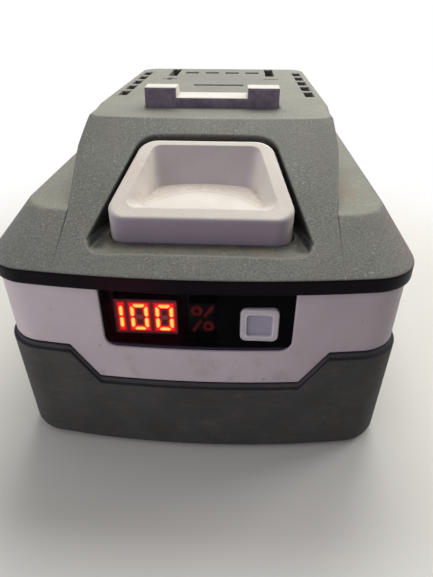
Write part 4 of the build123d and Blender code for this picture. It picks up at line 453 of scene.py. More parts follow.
def grained_shell(colours, sizes):
    """Upper case: grey plastic with a spark-eroded grain and painted glints, a smooth dark skirt with a
    painted glow of the display, dust and painted shade in the pocket, painted highlights on its edges and a
    painted reddish reflection on its right side.
    """
    f = Finish("grained_shell")
    grain = f.noise(sizes.grain, 3.0, 0.7)
    glints = f.noise(0.42 * MM, 1.0).ramp(0.60, 0.72) * f.noise(7 * MM, 2.0).ramp(0.30, 0.70)
    mottle = f.noise(13 * MM, 3.0)
    colour = f.mix(mottle.ramp(0.3, 0.7), tint(colours.shell, 0.90), tint(colours.shell, 1.10))
    colour = f.mix(grain.ramp(0.40, 0.75) * 0.6, colour, tint(colours.shell, 2.0))
    colour = f.mix((0.5 - grain).ramp(0.0, 0.25) * 0.6, colour, tint(colours.shell, 0.40))
    # Painted glints: bright flecks in the colour where light would catch the grain
    colour = f.mix(glints * 0.40, colour, tint(colours.shell, 3.4))
    up = f.facing(UP)
    film = up.ramp(0.90, 1.0)
    # Top faces paler and khaki, more so towards the sides
    colour = f.mix(film * 0.22 * (0.35 + 0.65 * abs(f.x).ramp(*TOP_FACE_PALE_X)), colour, TOP_FACE_PALE)
    smear = up.ramp(0.35, 1.0) * f.noise(8 * MM, 4.0).ramp(0.45, 0.80)
    colour = f.mix(smear * 0.14, colour, colours.dust)
    shelf = film * f.near(f.x, *SHELF_X) * f.near(f.y, *SHELF_Y)
    colour = f.mix(shelf * f.noise(3 * MM, 3.0).ramp(0.25, 0.6) * 0.75, colour, SHELF_DIRT)
    mark = film * f.near(abs(f.x), *TONGUE_MARK_X) * f.near(f.y, *TONGUE_MARK_Y)
    colour = f.mix(mark * f.noise(0.9 * MM, 2.0).ramp(0.25, 0.55) * 0.7, colour, TONGUE_MARK)
    lane = film * f.near(f.y, *LANE_Y) * (1.0 - abs(f.x).ramp(*LANE_X))
    colour = f.mix(lane * 0.35, colour, tint(colours.shell, 0.62))
    depth = pocket_depth(f)
    inside = depth.ramp(0.05 * MM, 0.30 * MM) * f.near(f.x, *POCKET_X)
    inside = inside * (f.z - POCKET_FLOOR).ramp(-0.30 * MM, -0.10 * MM) * (1.0 - f.y.ramp(*POCKET_REAR_Y))
    beside = abs(f.x).ramp(*BESIDE_BUTTON_X) * f.y.ramp(*BESIDE_BUTTON_Y)
    shade = (depth.ramp(0.1 * MM, 1.9 * MM) * f.y.ramp(*POCKET_SHADE_Y)).most(f.closed_in(5 * MM))
    shade = shade.most(beside * depth.ramp(0.2 * MM, 1.3 * MM))
    # Painted shade in the pocket: its walls and floor darker, and near black close to the button
    colour = f.mix(inside * 0.45, colour, tint(colours.shell, 0.30))
    dust = f.noise(2.6 * MM, 4.0, 0.65).ramp(0.38, 0.66) * f.near(f.z, *POCKET_DUST_Z)
    colour = f.mix(inside * shade * 0.95, colour, POCKET_SHADE)
    colour = f.mix(inside * dust * (1.0 - 0.8 * shade) * 0.60, colour, tint(colours.dust, 0.66))
    # Painted highlight along the moulded edges
    colour = f.mix(f.edges(1.1 * MM) * 0.30, colour, tint(colours.shell, 2.3))
    # Painted shade in the inner corners, left out along the front slope
    slope = (1.0 - abs(depth).ramp(0.4 * MM, 0.8 * MM)) * (1.0 - inside)
    colour = f.mix(f.creases(2.0 * MM) * (1.0 - slope) * 0.40, colour, tint(colours.shell, 0.30))
    # Painted reddish reflection on faces turned to the right
    red_reflection = f.facing((0.80, -0.45, 0.40)).ramp(0.70, 0.98) * f.x.ramp(*RED_REFLECTION_X) * (1.0 - film)
    colour = f.mix(red_reflection * 0.38, colour, PAINTED_RED_REFLECTION)
    rough = 0.60 - 0.14 * glints + 0.08 * smear
    f.set(Base_Color=colour, Roughness=rough, Specular_IOR_Level=0.42,
          Normal=f.relief(grain * (1.0 - 0.7 * inside), sizes.grain_depth, f.eased(sizes.edge)))
    satin = f.noise(0.6 * MM, 3.0)
    # Painted glow of the display: the skirt above it gives off a faint red light
    lit = f.near(f.x, *SKIRT_GLOW_X) * f.facing(FORWARD).ramp(0.3, 0.9)
    skirt = f.add("ShaderNodeBsdfPrincipled", {}, {
        "Base Color": colours.skirt, "Roughness": 0.34 + 0.12 * satin, "Specular IOR Level": 0.06,
        "Emission Color": f.mix(lit, BLACK, DISPLAY_GLOW), "Emission Strength": 1.0,
        "Normal": f.relief(satin, 0.004 * MM, f.eased(0.8 * MM))})
    above = f.z.ramp(SKIRT_TOP - 0.08 * MM, SKIRT_TOP + 0.02 * MM)
    both = f.add("ShaderNodeMixShader", {}, {0: above, 1: skirt.outputs[0], 2: f.shader.outputs[0]})
    f.feed(f.output.inputs["Surface"], both.outputs[0])
    return f


def pale_shell(colours, sizes):
    """Lower case: pale lavender-grey plastic with faint scuffs, thumb smudges, lighter edges, and painted
    shade and dirt in its inner corners.
    """
    f = Finish("pale_shell")
    grain = f.noise(0.22 * MM, 2.0, 0.6)
    clouds = f.noise(17 * MM, 4.0, 0.6)
    colour = f.mix(clouds.ramp(0.3, 0.7), tint(colours.lower, 0.94), tint(colours.lower, 1.06))
    smudge = f.noise(3.4 * MM, 3.0, 0.6).ramp(0.52, 0.74)
    low = 1.0 - f.z.ramp(*SMUDGE_Z)
    colour = f.mix(smudge * low * 0.20, colour, tint(colours.dust, 0.60))
    thumb = f.near(f.x, *THUMB_X) * f.near(f.z, *THUMB_Z) * f.noise(0.7 * MM, 3.0, 0.7).ramp(0.3, 0.6)
    colour = f.mix(thumb * 0.30, colour, tint(colours.dust, 0.50))
    spots = 1.0 - f.cells(2.6 * MM).ramp(0.05, 0.11)
    colour = f.mix(spots * f.noise(6 * MM).ramp(0.55, 0.7) * 0.5, colour, tint(colours.dust, 0.35))
    scuffs = f.noise(0.9 * MM, 2.0, 0.5, (0.12, 0.12, 1.0)).ramp(0.62, 0.70) * f.noise(9 * MM).ramp(0.5, 0.7)
    colour = f.mix(scuffs * 0.25, colour, tint(colours.lower, 1.35))
    colour = f.mix(f.edges(0.4 * MM) * 0.35, colour, tint(colours.lower, 1.4))
    # Painted shade and dirt in the inner corners
    colour = f.mix(f.creases(1.6 * MM) * 0.5, colour, tint(colours.dust, 0.4))
    rough = 0.46 + 0.12 * clouds - 0.10 * smudge * low + 0.10 * scuffs
    f.set(Base_Color=colour, Roughness=rough, Specular_IOR_Level=0.40,
          Normal=f.relief(grain + 0.4 * scuffs, 0.010 * MM, f.eased(sizes.edge)))
    return f


def moulded_rubber(colours, sizes):
    """Bumper: charcoal rubber with a fine tooth, dry scuffs, lighter edges and painted shade along its ledge.
    """
    f = Finish("moulded_rubber")
    tooth = f.noise(0.45 * MM, 3.0, 0.6)
    clouds = f.noise(11 * MM, 4.0, 0.65)
    colour = f.mix(clouds.ramp(0.3, 0.7), tint(colours.rubber, 0.80), tint(colours.rubber, 1.20))
    colour = f.mix(tooth.ramp(0.5, 0.8) * 0.4, colour, tint(colours.rubber, 1.8))
    dry = f.noise(2.4 * MM, 4.0, 0.7, (0.5, 0.5, 1.4)).ramp(0.50, 0.78)
    colour = f.mix(dry * 0.22, colour, tint(colours.dust, 0.75))
    colour = f.mix(f.edges(0.5 * MM) * 0.20, colour, tint(colours.rubber, 2.0))
    # Painted shade on the up-facing ledge
    ledge = f.facing(UP).ramp(0.25, 0.60) * f.z.ramp(*LEDGE_Z)
    colour = f.mix(ledge * 0.85, colour, LEDGE_SHADE)
    stain = f.noise(4.5 * MM, 4.0, 0.7).ramp(0.52, 0.72) * (1.0 - f.z.ramp(*STAIN_Z))
    colour = f.mix(stain * 0.30, colour, FOOT_STAIN)
    rough = 0.66 + 0.16 * clouds
    f.set(Base_Color=colour, Roughness=rough, Specular_IOR_Level=0.35,
          Normal=f.relief(tooth, 0.035 * MM, f.eased(0.6 * MM)))
    return f


def latch_plastic(colours, sizes):
    """Release button and tongue: off-white plastic, with painted violet shade on its front, painted light on
    the recess's side walls and grime in the recess.
    """
    f = Finish("latch_plastic")
    grain = f.noise(0.36 * MM, 3.0, 0.7)
    clouds = f.noise(6 * MM, 3.0)
    colour = f.mix(clouds.ramp(0.3, 0.7), tint(colours.latch, 0.96), tint(colours.latch, 1.05))
    colour = f.mix(grain.ramp(0.50, 0.78) * 0.30, colour, tint(colours.dust, 1.9))
    front = f.facing(FORWARD).ramp(0.60, 0.98)
    tongue = f.y.ramp(*TONGUE_Y)
    behind = f.y.ramp(*RECESS_REAR_Y) * (1.0 - tongue)
    colour = f.mix(front * (0.80 - 0.32 * behind), colour, BUTTON_FRONT_SHADE)
    # Painted light on the side walls of the recess
    side = abs(f.facing(SIDEWAYS)).ramp(0.5, 0.9) * f.near(f.x, *RECESS_SIDE_X)
    colour = f.mix(side * 0.6, colour, RECESS_WALL_LIGHT)
    # Painted shade on the tongue's front, blotched with dirt
    blotches = f.noise(2.6 * MM, 4.0, 0.7).ramp(0.35, 0.65)
    colour = f.mix(front * tongue * (0.45 + 0.30 * blotches), colour, TONGUE_SHADE)
    low = 1.0 - f.z.ramp(*RECESS_RIM_Z)
    recess = low * f.near(f.x, *RECESS_X) * f.near(f.y, *RECESS_Y)
    arc = f.y + f.x * f.x * GRIME_ARC_BEND
    beyond = arc.ramp(*GRIME_ARC) * f.facing(UP).ramp(0.62, 0.92)
    grime = recess * beyond * f.noise(0.9 * MM, 4.0, 0.7).ramp(0.30, 0.66)
    colour = f.mix(grime * 0.38, colour, tint(colours.dust, 1.55))
    line = recess * f.near(arc, *GRIME_LINE)
    colour = f.mix(line * 0.22, colour, tint(colours.dust, 0.8))
    corner = f.creases(2.0 * MM) * f.noise(0.8 * MM, 3.0, 0.7).ramp(0.30, 0.65)
    colour = f.mix(corner * 0.45, colour, tint(colours.dust, 1.2))
    warm = f.near(f.x, *WARM_CORNER_X) * f.near(f.y, *WARM_CORNER_Y)
    colour = f.mix(warm * f.noise(3 * MM).ramp(0.35, 0.6) * 0.30, colour, WARM_CORNER)
    specks = 1.0 - f.cells(1.5 * MM).ramp(0.04, 0.10)
    colour = f.mix(specks * f.noise(5 * MM).ramp(0.50, 0.62) * 0.55, colour, tint(colours.dust, 0.4))
    rough = 0.50 + 0.10 * clouds + 0.14 * grime
    f.set(Base_Color=colour, Roughness=rough, Specular_IOR_Level=0.40,
          Normal=f.relief(grain, 0.024 * MM, f.eased(0.45 * MM)))
    return f


def check_cap(colours, sizes):
    """Check button: satin rim round a darker lavender dish."""
    f = Finish("check_cap")
    wear = f.noise(1.4 * MM, 3.0)
    colour = f.mix(wear.ramp(0.35, 0.7), tint(colours.check, 0.94), tint(colours.check, 1.06))
    dish = (f.y - CHECK_LOW.y).ramp(0.20 * MM, 0.40 * MM)
    half = (CHECK_HIGH.z - CHECK_LOW.z) / 2 - CHECK_DISH_MARGIN
    middle_x, middle_z = (CHECK_LOW.x + CHECK_HIGH.x) / 2, (CHECK_LOW.z + CHECK_HIGH.z) / 2
    inside = f.near(f.x, middle_x, half, 0.15 * MM) * f.near(f.z, middle_z, half, 0.15 * MM)
    colour = f.mix(dish * inside * 0.85, colour, CHECK_DISH)
    lip = f.near(abs(f.x - middle_x).most(abs(f.z - middle_z)), half + 0.12 * MM, 0.10 * MM, 0.12 * MM)
    colour = f.mix(lip * 0.7, colour, CHECK_LIP)
    f.set(Base_Color=colour, Roughness=0.34 + 0.12 * wear, Coat_Weight=0.15, Coat_Roughness=0.25,
          Normal=f.relief(wear, 0.006 * MM, f.eased(0.35 * MM)))
    return f


def bar_distance(f):
    """Distance from the middle line of the nearest lit bar, and from the nearest break between bars."""
    half_width = (DIGIT_WIDTH - DIGIT_STROKE) / 2
    half_height = (DIGITS_HIGH.z - DIGITS_LOW.z - DIGIT_STROKE) / 2
    up = abs(f.z - DIGIT_MIDDLE)
    one = abs(f.x - (LAST_DIGIT - 2 * DIGIT_PITCH + half_width)).most(up - half_height)
    across = abs(f.x - LAST_DIGIT).least(abs(f.x - (LAST_DIGIT - DIGIT_PITCH)))
    beside, above = across - half_width, up - half_height
    ring = abs(beside.most(above))
    corner = abs(beside - above) * math.sqrt(0.5)
    return one.least(ring), corner.least(up)


def lit_bars(colours, sizes):
    """Lit display bars: yellow cores that turn red towards their rims."""
    f = Finish("lit_bars")
    off_line, off_break = bar_distance(f)
    core = (1.0 - off_line.ramp(0.12 * MM, 0.46 * MM)) * off_break.ramp(0.08 * MM, 0.34 * MM)
    grain = f.noise(0.35 * MM, 2.0)
    colour = f.mix((core * (0.82 + 0.36 * grain)).least(1.0), colours.glow, colours.lit)
    f.set(Base_Color=(0.25, 0.02, 0.02), Roughness=0.4, Emission_Color=colour, Emission_Strength=4.0)
    return f


def display_face(colours, sizes):
    """Face of the digit block: dark, with the red light of the bars spread over it."""
    f = Finish("display_face")
    off_line, _ = bar_distance(f)
    grain = f.noise(0.5 * MM, 3.0)
    front = 1.0 - f.y.ramp(MODULE_LOW.y + 0.02 * MM, MODULE_LOW.y + 0.10 * MM)
    halo = (1.0 - off_line.ramp(0.10 * MM, 1.35 * MM)) ** 2.2
    light = f.mix(halo * front, BLACK, tint(colours.glow, 0.95))
    wide = (1.0 - off_line.ramp(0.3 * MM, 3.2 * MM)) * front
    light = f.mix(wide * (1.0 - halo) * 0.6, light, (0.044, 0.011, 0.014))
    colour = f.mix(grain.ramp(0.3, 0.7), (0.035, 0.026, 0.028), (0.055, 0.040, 0.042))
    f.set(Base_Color=colour, Roughness=0.5 + 0.1 * grain, Emission_Color=light, Emission_Strength=4.2)
    return f


def dim_bars(colours, sizes):
    """Unlit middle bars: dull pink in the light of their neighbours."""
    f = Finish("dim_bars")
    off_line, _ = bar_distance(f)
    light = f.mix(off_line.ramp(0.3 * MM, 1.2 * MM), (0.55, 0.01, 0.02), (0.30, 0.09, 0.085))
    f.set(Base_Color=(0.22, 0.10, 0.09), Roughness=0.5, Emission_Color=light, Emission_Strength=1.1)
    return f


def percent_face(colours, sizes):
    """Percent mark: dark red, a little uneven."""
    f = Finish("percent_face")
    uneven = f.noise(0.9 * MM, 3.0).ramp(0.3, 0.7)
    light = f.mix(uneven, (0.060, 0.003, 0.004), (0.15, 0.009, 0.011))
    f.set(Base_Color=(0.10, 0.01, 0.01), Roughness=0.5, Emission_Color=light, Emission_Strength=1.1)
    return f


def smoked_window(colours, sizes):
    """Display window: black gloss plastic, smoked over the digits and the percent mark, with a painted glow
    of the bars, a painted red reflection along its top edge and a painted highlight along its foot.
    """
    f = Finish("smoked_window")
    dirt = f.noise(2.5 * MM, 4.0, 0.6)
    clear_x = (MODULE_LOW.x + PERCENT_HIGH.x) / 2
    half = (PERCENT_HIGH.x - MODULE_LOW.x) / 2 + 0.6 * MM
    clear = f.near(f.x, clear_x, half, 1.0 * MM) * (f.z - MODULE_LOW.z).ramp(-0.8 * MM, 0.6 * MM)
    off_line, _ = bar_distance(f)
    # Painted glow of the lit bars on the window
    spread = (1.0 - off_line.ramp(0.0, 5.5 * MM)) ** 2.0
    light = f.mix(spread, BLACK, DISPLAY_GLOW)
    # Painted red reflection along the window's top edge
    top = f.near(f.z, *WINDOW_TOP_Z) * f.near(f.x, *WINDOW_TOP_X)
    light = f.mix(top, light, (0.16, 0.020, 0.040))
    # Painted highlight along the window's foot, on its front surface
    behind = f.y - LENS_LOW.y - (f.x / PACK_HALF_WIDTH) ** 2.0 * FRONT_BOW
    foot = f.near(f.z, *WINDOW_FOOT_Z) * (1.0 - behind.ramp(0.3 * MM, 0.6 * MM))
    light = f.mix(foot * 0.8, light, (0.030, 0.022, 0.050))
    colour = f.mix(dirt.ramp(0.4, 0.8), (0.002, 0.002, 0.003), (0.004, 0.004, 0.006))
    f.set(Base_Color=colour, Roughness=0.10 + 0.12 * dirt, Specular_IOR_Level=0.02,
          Alpha=1.0 - 0.60 * clear, Emission_Color=light, Emission_Strength=1.0)
    return f


def moulded_black(name, colour=(0.022, 0.022, 0.024), rough=0.5):
    """Black moulded plastic of the inner pieces."""
    f = Finish(name)
    grain = f.noise(0.4 * MM, 3.0)
    f.set(Base_Color=f.mix(f.noise(5 * MM, 3.0), tint(colour, 0.8), tint(colour, 1.3)),
          Roughness=rough + 0.1 * grain, Normal=f.relief(grain, 0.01 * MM, f.eased(0.2 * MM)))
    return f


def bare_metal(name, colour, rough=0.3, brushed=(1.0, 1.0, 1.0)):
    """Metal with a drawn or brushed finish along an axis."""
    f = Finish(name)
    lines = f.noise(0.25 * MM, 3.0, 0.6, brushed)
    stain = f.noise(4 * MM, 3.0)
    f.set(Base_Color=f.mix(stain.ramp(0.3, 0.8), colour, tint(colour, 0.75)), Metallic=1.0,
          Roughness=rough + 0.15 * lines + 0.10 * stain,
          Normal=f.relief(lines, 0.004 * MM, f.eased(0.1 * MM)))
    return f


def circuit_board(colours, sizes):
    """Lacquered board with faint tracks under the lacquer and copper at its cut edge."""
    f = Finish("circuit_board")
    tracks = abs(f.noise(3.0 * MM, 0.0) - 0.5).ramp(0.02, 0.05)
    colour = f.mix(tracks, (0.030, 0.190, 0.080), (0.012, 0.095, 0.040))
    cut = 1.0 - abs(f.facing(UP)).ramp(0.3, 0.7)
    colour = f.mix(cut * 0.7, colour, (0.34, 0.30, 0.16))
    f.set(Base_Color=colour, Roughness=0.32 + 0.10 * f.noise(2 * MM), Coat_Weight=0.4, Coat_Roughness=0.15)
    return f


def black_board(colours, sizes):
    """Display board: black lacquer, so that nothing of it shows through the window."""
    f = Finish("black_board")
    tracks = abs(f.noise(2.0 * MM, 0.0) - 0.5).ramp(0.02, 0.05)
    f.set(Base_Color=f.mix(tracks, (0.012, 0.012, 0.014), (0.006, 0.006, 0.007)),
          Roughness=0.4 + 0.1 * tracks)
    return f


def shrink_film(colours, sizes):
    """Film of the cells: a seam along the can, tight creases at the ends and the steel of the poles."""
    f = Finish("shrink_film")
    creases = f.noise(0.8 * MM, 3.0, 0.6, (0.15, 1.0, 1.0))
    colour = f.mix(f.noise(9 * MM, 2.0), tint(colours.film, 0.85), tint(colours.film, 1.2))
    pole = abs(f.facing(SIDEWAYS)).ramp(0.7, 0.95)
    colour = f.mix(pole, colour, (0.55, 0.55, 0.54))
    f.set(Base_Color=colour, Metallic=pole, Roughness=0.30 + 0.12 * creases,
          Normal=f.relief(creases * (1.0 - pole), 0.02 * MM, f.eased(0.3 * MM)))
    return f


def pressed_card(colours, sizes):
    """Fish paper: grey-beige card with fibres."""
    f = Finish("pressed_card")
    fibres = f.noise(0.5 * MM, 4.0, 0.7, (1.0, 0.2, 1.0))
    f.set(Base_Color=f.mix(fibres, (0.50, 0.47, 0.38), (0.68, 0.66, 0.57)), Roughness=0.75 + 0.1 * fibres,
          Normal=f.relief(fibres, 0.02 * MM, f.eased(0.1 * MM)))
    return f


def cell_foam(colours, sizes):
    """Closed-cell foam."""
    f = Finish("cell_foam")
    pores = f.cells(0.7 * MM).ramp(0.1, 0.5)
    f.set(Base_Color=f.mix(pores, (0.03, 0.03, 0.03), (0.09, 0.09, 0.09)), Roughness=0.85 + 0.1 * pores,
          Normal=f.relief(pores, 0.08 * MM, f.eased(0.3 * MM)))
    return f


def flat_cable(colours, sizes):
    """Flat cable: white film with the conductors showing through as lines."""
    f = Finish("flat_cable")
    wires = abs(f.noise(0.4 * MM, 0.0, 0.5, (1.0, 0.0, 0.0)) - 0.5).ramp(0.02, 0.12)
    f.set(Base_Color=f.mix(wires, (0.45, 0.42, 0.36), (0.74, 0.74, 0.70)), Roughness=0.4 + 0.1 * wires)
    return f


def rounded(node, name, radius, finish):
    """Stands a smoothly shaded copy of a CAD node in its place, with its outer edges rounded by a radius."""
    work = bmesh.new()
    work.from_mesh(NODES[node].data)
    bmesh.ops.remove_doubles(work, verts=work.verts, dist=WELD)
    bmesh.ops.dissolve_limit(work, angle_limit=FLAT_TURN, verts=work.verts, edges=work.edges)
    for face in work.faces:
        face.smooth = True
    weight = work.edges.layers.float.new("bevel_weight_edge")
    for edge in work.edges:
        turn = edge.calc_face_angle_signed(0.0)
        edge[weight] = float(turn > SHARP_TURN)
        edge.smooth = turn > -SHARP_TURN
    mesh = bpy.data.meshes.new(name)
    work.to_mesh(mesh)
    work.free()
    mesh.materials.clear()
    mesh.materials.append(finish.material)
    draft = bpy.data.objects.new(name + "_draft", mesh)
    bpy.context.scene.collection.objects.link(draft)
    bevel = draft.modifiers.new("Bevel", "BEVEL")
    bevel.width = radius
    bevel.segments = ROUND_SEGMENTS
    bevel.limit_method = "WEIGHT"
    bevel.use_clamp_overlap = False
    bevel.miter_outer = "MITER_SHARP"
    weigh = draft.modifiers.new("Weighted Normal", "WEIGHTED_NORMAL")
    weigh.keep_sharp = True
    piece = baked(draft, name)
    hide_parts(node)
    return piece


def baked(obj, name):
    """Turns the result of an object's modifiers into a new object with a plain mesh."""
    bpy.context.view_layer.update()
    graph = bpy.context.evaluated_depsgraph_get()
    mesh = bpy.data.meshes.new_from_object(obj.evaluated_get(graph), depsgraph=graph)
    bpy.data.objects.remove(obj)
    piece = bpy.data.objects.new(name, mesh)
    bpy.context.scene.collection.objects.link(piece)
    return piece


def soft_spring(node, name, finish):
    """Stands a copy of a coil spring in its place, moving with the case."""
    piece = bpy.data.objects.new(name, NODES[node].data.copy())
    bpy.context.scene.collection.objects.link(piece)
    piece.data.materials.clear()
    piece.data.materials.append(finish.material)
    carry(piece, "case")
    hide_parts(node)
    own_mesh(piece)


def carry(piece, body):
    """Lets a piece move with a body."""
    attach(piece, body)


def new_tree(name, takes, gives):
    """New node tree with named inputs of given kinds and one named output."""
    tree = bpy.data.node_groups.new(name, "GeometryNodeTree")
    for label, kind in takes.items():
        tree.interface.new_socket(label, in_out="INPUT", socket_type="NodeSocket" + kind)
    tree.interface.new_socket(gives, in_out="OUTPUT", socket_type="NodeSocketGeometry")
    return tree


def hand_out(g, placed, finish, gives):
    """Ends a node tree: makes its instances real, sets their material and feeds the output."""
    real = g.add("GeometryNodeRealizeInstances", {}, {"Geometry": placed.outputs["Instances"]})
    painted = g.add("GeometryNodeSetMaterial", {},
                    {"Geometry": real.outputs["Geometry"], "Material": finish.material})
    g.add("NodeGroupOutput", {}, {gives: painted.outputs["Geometry"]})


def scatter_tree(name, finish):
    """Node tree that scatters turned grains over a surface: inputs for their density, size and seed."""
    tree = new_tree(name, {"Surface": "Geometry", "Density": "Float", "Size": "Float", "Seed": "Int"},
                    "Grains")
    g = Graph(tree)
    given = g.add("NodeGroupInput").outputs
    seed = given["Seed"]
    spots = g.add("GeometryNodeDistributePointsOnFaces", {},
                  {"Mesh": given["Surface"], "Density": given["Density"], "Seed": seed})
    least = Sock(g, given["Size"]) * LEAST_GRAIN_SHARE
    width = g.add("FunctionNodeRandomValue", {"data_type": "FLOAT"},
                  {2: least, 3: given["Size"], "Seed": seed})
    turn = g.add("FunctionNodeRandomValue", {"data_type": "FLOAT_VECTOR"},
                 {0: (0.0, 0.0, 0.0), 1: (math.tau, math.tau, math.tau), "Seed": seed})
    grain = g.add("GeometryNodeMeshIcoSphere", {}, {"Radius": 0.5, "Subdivisions": 1})
    chipped = g.add("GeometryNodeTransform", {}, {"Geometry": grain.outputs["Mesh"], "Scale": GRAIN_SHARES})
    placed = g.add("GeometryNodeInstanceOnPoints", {},
                   {"Points": spots.outputs["Points"], "Instance": chipped.outputs["Geometry"],
                    "Rotation": turn.outputs["Value"], "Scale": width.outputs[1]})
    hand_out(g, placed, finish, "Grains")
    return tree


def run_tree(obj, tree, values):
    """Adds a node tree to an object and sets its inputs by their identifiers."""
    modifier = obj.modifiers.new(tree.name, "NODES")
    modifier.node_group = tree
    for item in tree.interface.items_tree:
        if item.in_out == "INPUT" and item.name in values:
            modifier[item.identifier] = values[item.name]


def joint_tree(name, finish):
    """Node tree of domed solder joints in rows: inputs for their number, spacing, width and centre."""
    tree = new_tree(name, {"Mesh": "Geometry", "Count": "Int", "Rows": "Int", "Pitch": "Float",
                           "Row pitch": "Float", "Width": "Float", "Centre": "Vector"}, "Joints")
    g = Graph(tree)
    given = g.add("NodeGroupInput").outputs
    count, rows = Sock(g, given["Count"]), Sock(g, given["Rows"])
    grid = g.add("GeometryNodeMeshGrid", {},
                 {"Size X": (count - 1.0) * given["Pitch"], "Size Y": (rows - 1.0) * given["Row pitch"],
                  "Vertices X": count, "Vertices Y": rows})
    moved = g.add("GeometryNodeTransform", {},
                  {"Geometry": grid.outputs["Mesh"], "Translation": given["Centre"]})
    ball = g.add("GeometryNodeMeshUVSphere", {}, {"Segments": 14, "Rings": 8, "Radius": 0.5})
    dome = g.add("GeometryNodeTransform", {}, {"Geometry": ball.outputs["Mesh"], "Scale": JOINT_SHARES})
    placed = g.add("GeometryNodeInstanceOnPoints", {},
                   {"Points": moved.outputs["Geometry"], "Instance": dome.outputs["Geometry"],
                    "Scale": given["Width"]})
    hand_out(g, placed, finish, "Joints")
    return tree


class BATTERYPACK_OT_shells(Operator):
    """Finishes the upper case, the lower case and the rubber bumper"""

    bl_idname = "batterypack.shells"
    bl_label = "Cases and bumper"

    def execute(self, context):
        pack = context.scene.battery_pack
        for node, name, radius, maker, slot in (
                ("upper_case", "rounded_upper_case", UPPER_CASE_ROUND, grained_shell, "upper_shell"),
                ("lower_case", "rounded_lower_case", LOWER_CASE_ROUND, pale_shell, "lower_shell"),
                ("rubber_bumper", "rounded_bumper", BUMPER_ROUND, moulded_rubber, "overmould")):
            carry(rounded(node, name, radius, maker(pack.colours, pack.sizes)), "case")
        return {"FINISHED"}


class BATTERYPACK_OT_latch(Operator):
    """Finishes the release latch, its plate and its springs"""

    bl_idname = "batterypack.latch"
    bl_label = "Release latch"

    def execute(self, context):
        dress_with(latch_plastic, "release_latch")
        dress(moulded_black("retainer_plastic"), "latch_retainer")
        steel = bare_metal("spring_steel", (0.56, 0.57, 0.58), 0.28)
        for side in ("left", "right"):
            soft_spring("latch_spring_" + side, "coil_" + side, steel)
        return {"FINISHED"}


class BATTERYPACK_OT_display(Operator):
    """Finishes the display: window, digits, percent mark, check button and what is behind them"""

    bl_idname = "batterypack.display"
    bl_label = "Display and check button"

    def execute(self, context):
        dress_with(smoked_window, "display_lens")
        dress_with(display_face, "display_module")
        dress(moulded_black("percent_block", (0.004, 0.004, 0.004)), "percent_module")
        dress_with(lit_bars, "digit_segments")
        dress_with(dim_bars, "unlit_segments")
        dress_with(percent_face, "percent_mark")
        dress_with(check_cap, "check_button")
        dress_with(black_board, "display_board")
        dress(moulded_black("switch_body"), "check_switch", "switch_plunger")
        dress_with(flat_cable, "display_ribbon")
        return {"FINISHED"}


class BATTERYPACK_OT_cells(Operator):
    """Finishes the cells, their frames, strips, card and foam"""

    bl_idname = "batterypack.cells"
    bl_label = "Cells and strips"

    def execute(self, context):
        dress_with(shrink_film, *[node for node in NODES if node.startswith(("cell_lower", "cell_upper"))])
        dress(bare_metal("nickel_strip", (0.62, 0.60, 0.56), 0.30, (1.0, 0.15, 1.0)),
              *[node for node in NODES if node.startswith("cell_strip")])
        dress(moulded_black("frame_plastic", (0.030, 0.030, 0.032)), "cell_holder_left", "cell_holder_right")
        dress_with(pressed_card, "cell_insulators", "insulation_paper_left", "insulation_paper_right")
        dress_with(cell_foam, "foam_pads")
        return {"FINISHED"}


class BATTERYPACK_OT_board(Operator):
    """Finishes the main board with its contacts and parts, and adds the solder joints under it"""

    bl_idname = "batterypack.board"
    bl_label = "Board and contacts"

    def execute(self, context):
        dress_with(circuit_board, "main_board")
        dress(bare_metal("plated_copper", (0.80, 0.60, 0.38), 0.26, (1.0, 0.2, 1.0)), "terminal_positive",
              "terminal_negative", "signal_contacts", "current_shunt")
        dress(moulded_black("contact_base"), "terminal_block")
        dress(moulded_black("component_body", (0.028, 0.028, 0.030), 0.42),
              "power_transistors", "control_chip", "board_resistors", "thermistor")
        dress(bare_metal("black_zinc", (0.10, 0.10, 0.11), 0.36),
              "case_screws", "retainer_screws", "board_screws")
        tree = joint_tree("solder_rows", bare_metal("solder", (0.62, 0.63, 0.64), 0.24))
        middle = (CONTACTS_LOW + CONTACTS_HIGH) / 2
        base = bpy.data.objects.new("solder_base", bpy.data.meshes.new("solder_base"))
        context.scene.collection.objects.link(base)
        run_tree(base, tree, {"Count": JOINT_COLUMNS, "Rows": JOINT_ROWS,
                              "Pitch": (CONTACTS_HIGH.x - CONTACTS_LOW.x) / CONTACT_SPAN_SHARE,
                              "Row pitch": JOINT_ROW_PITCH,
                              "Width": context.scene.battery_pack.sizes.solder_size,
                              "Centre": (middle.x, middle.y, BOARD_LOW.z)})
        carry(baked(base, "solder_joints"), "case")
        return {"FINISHED"}


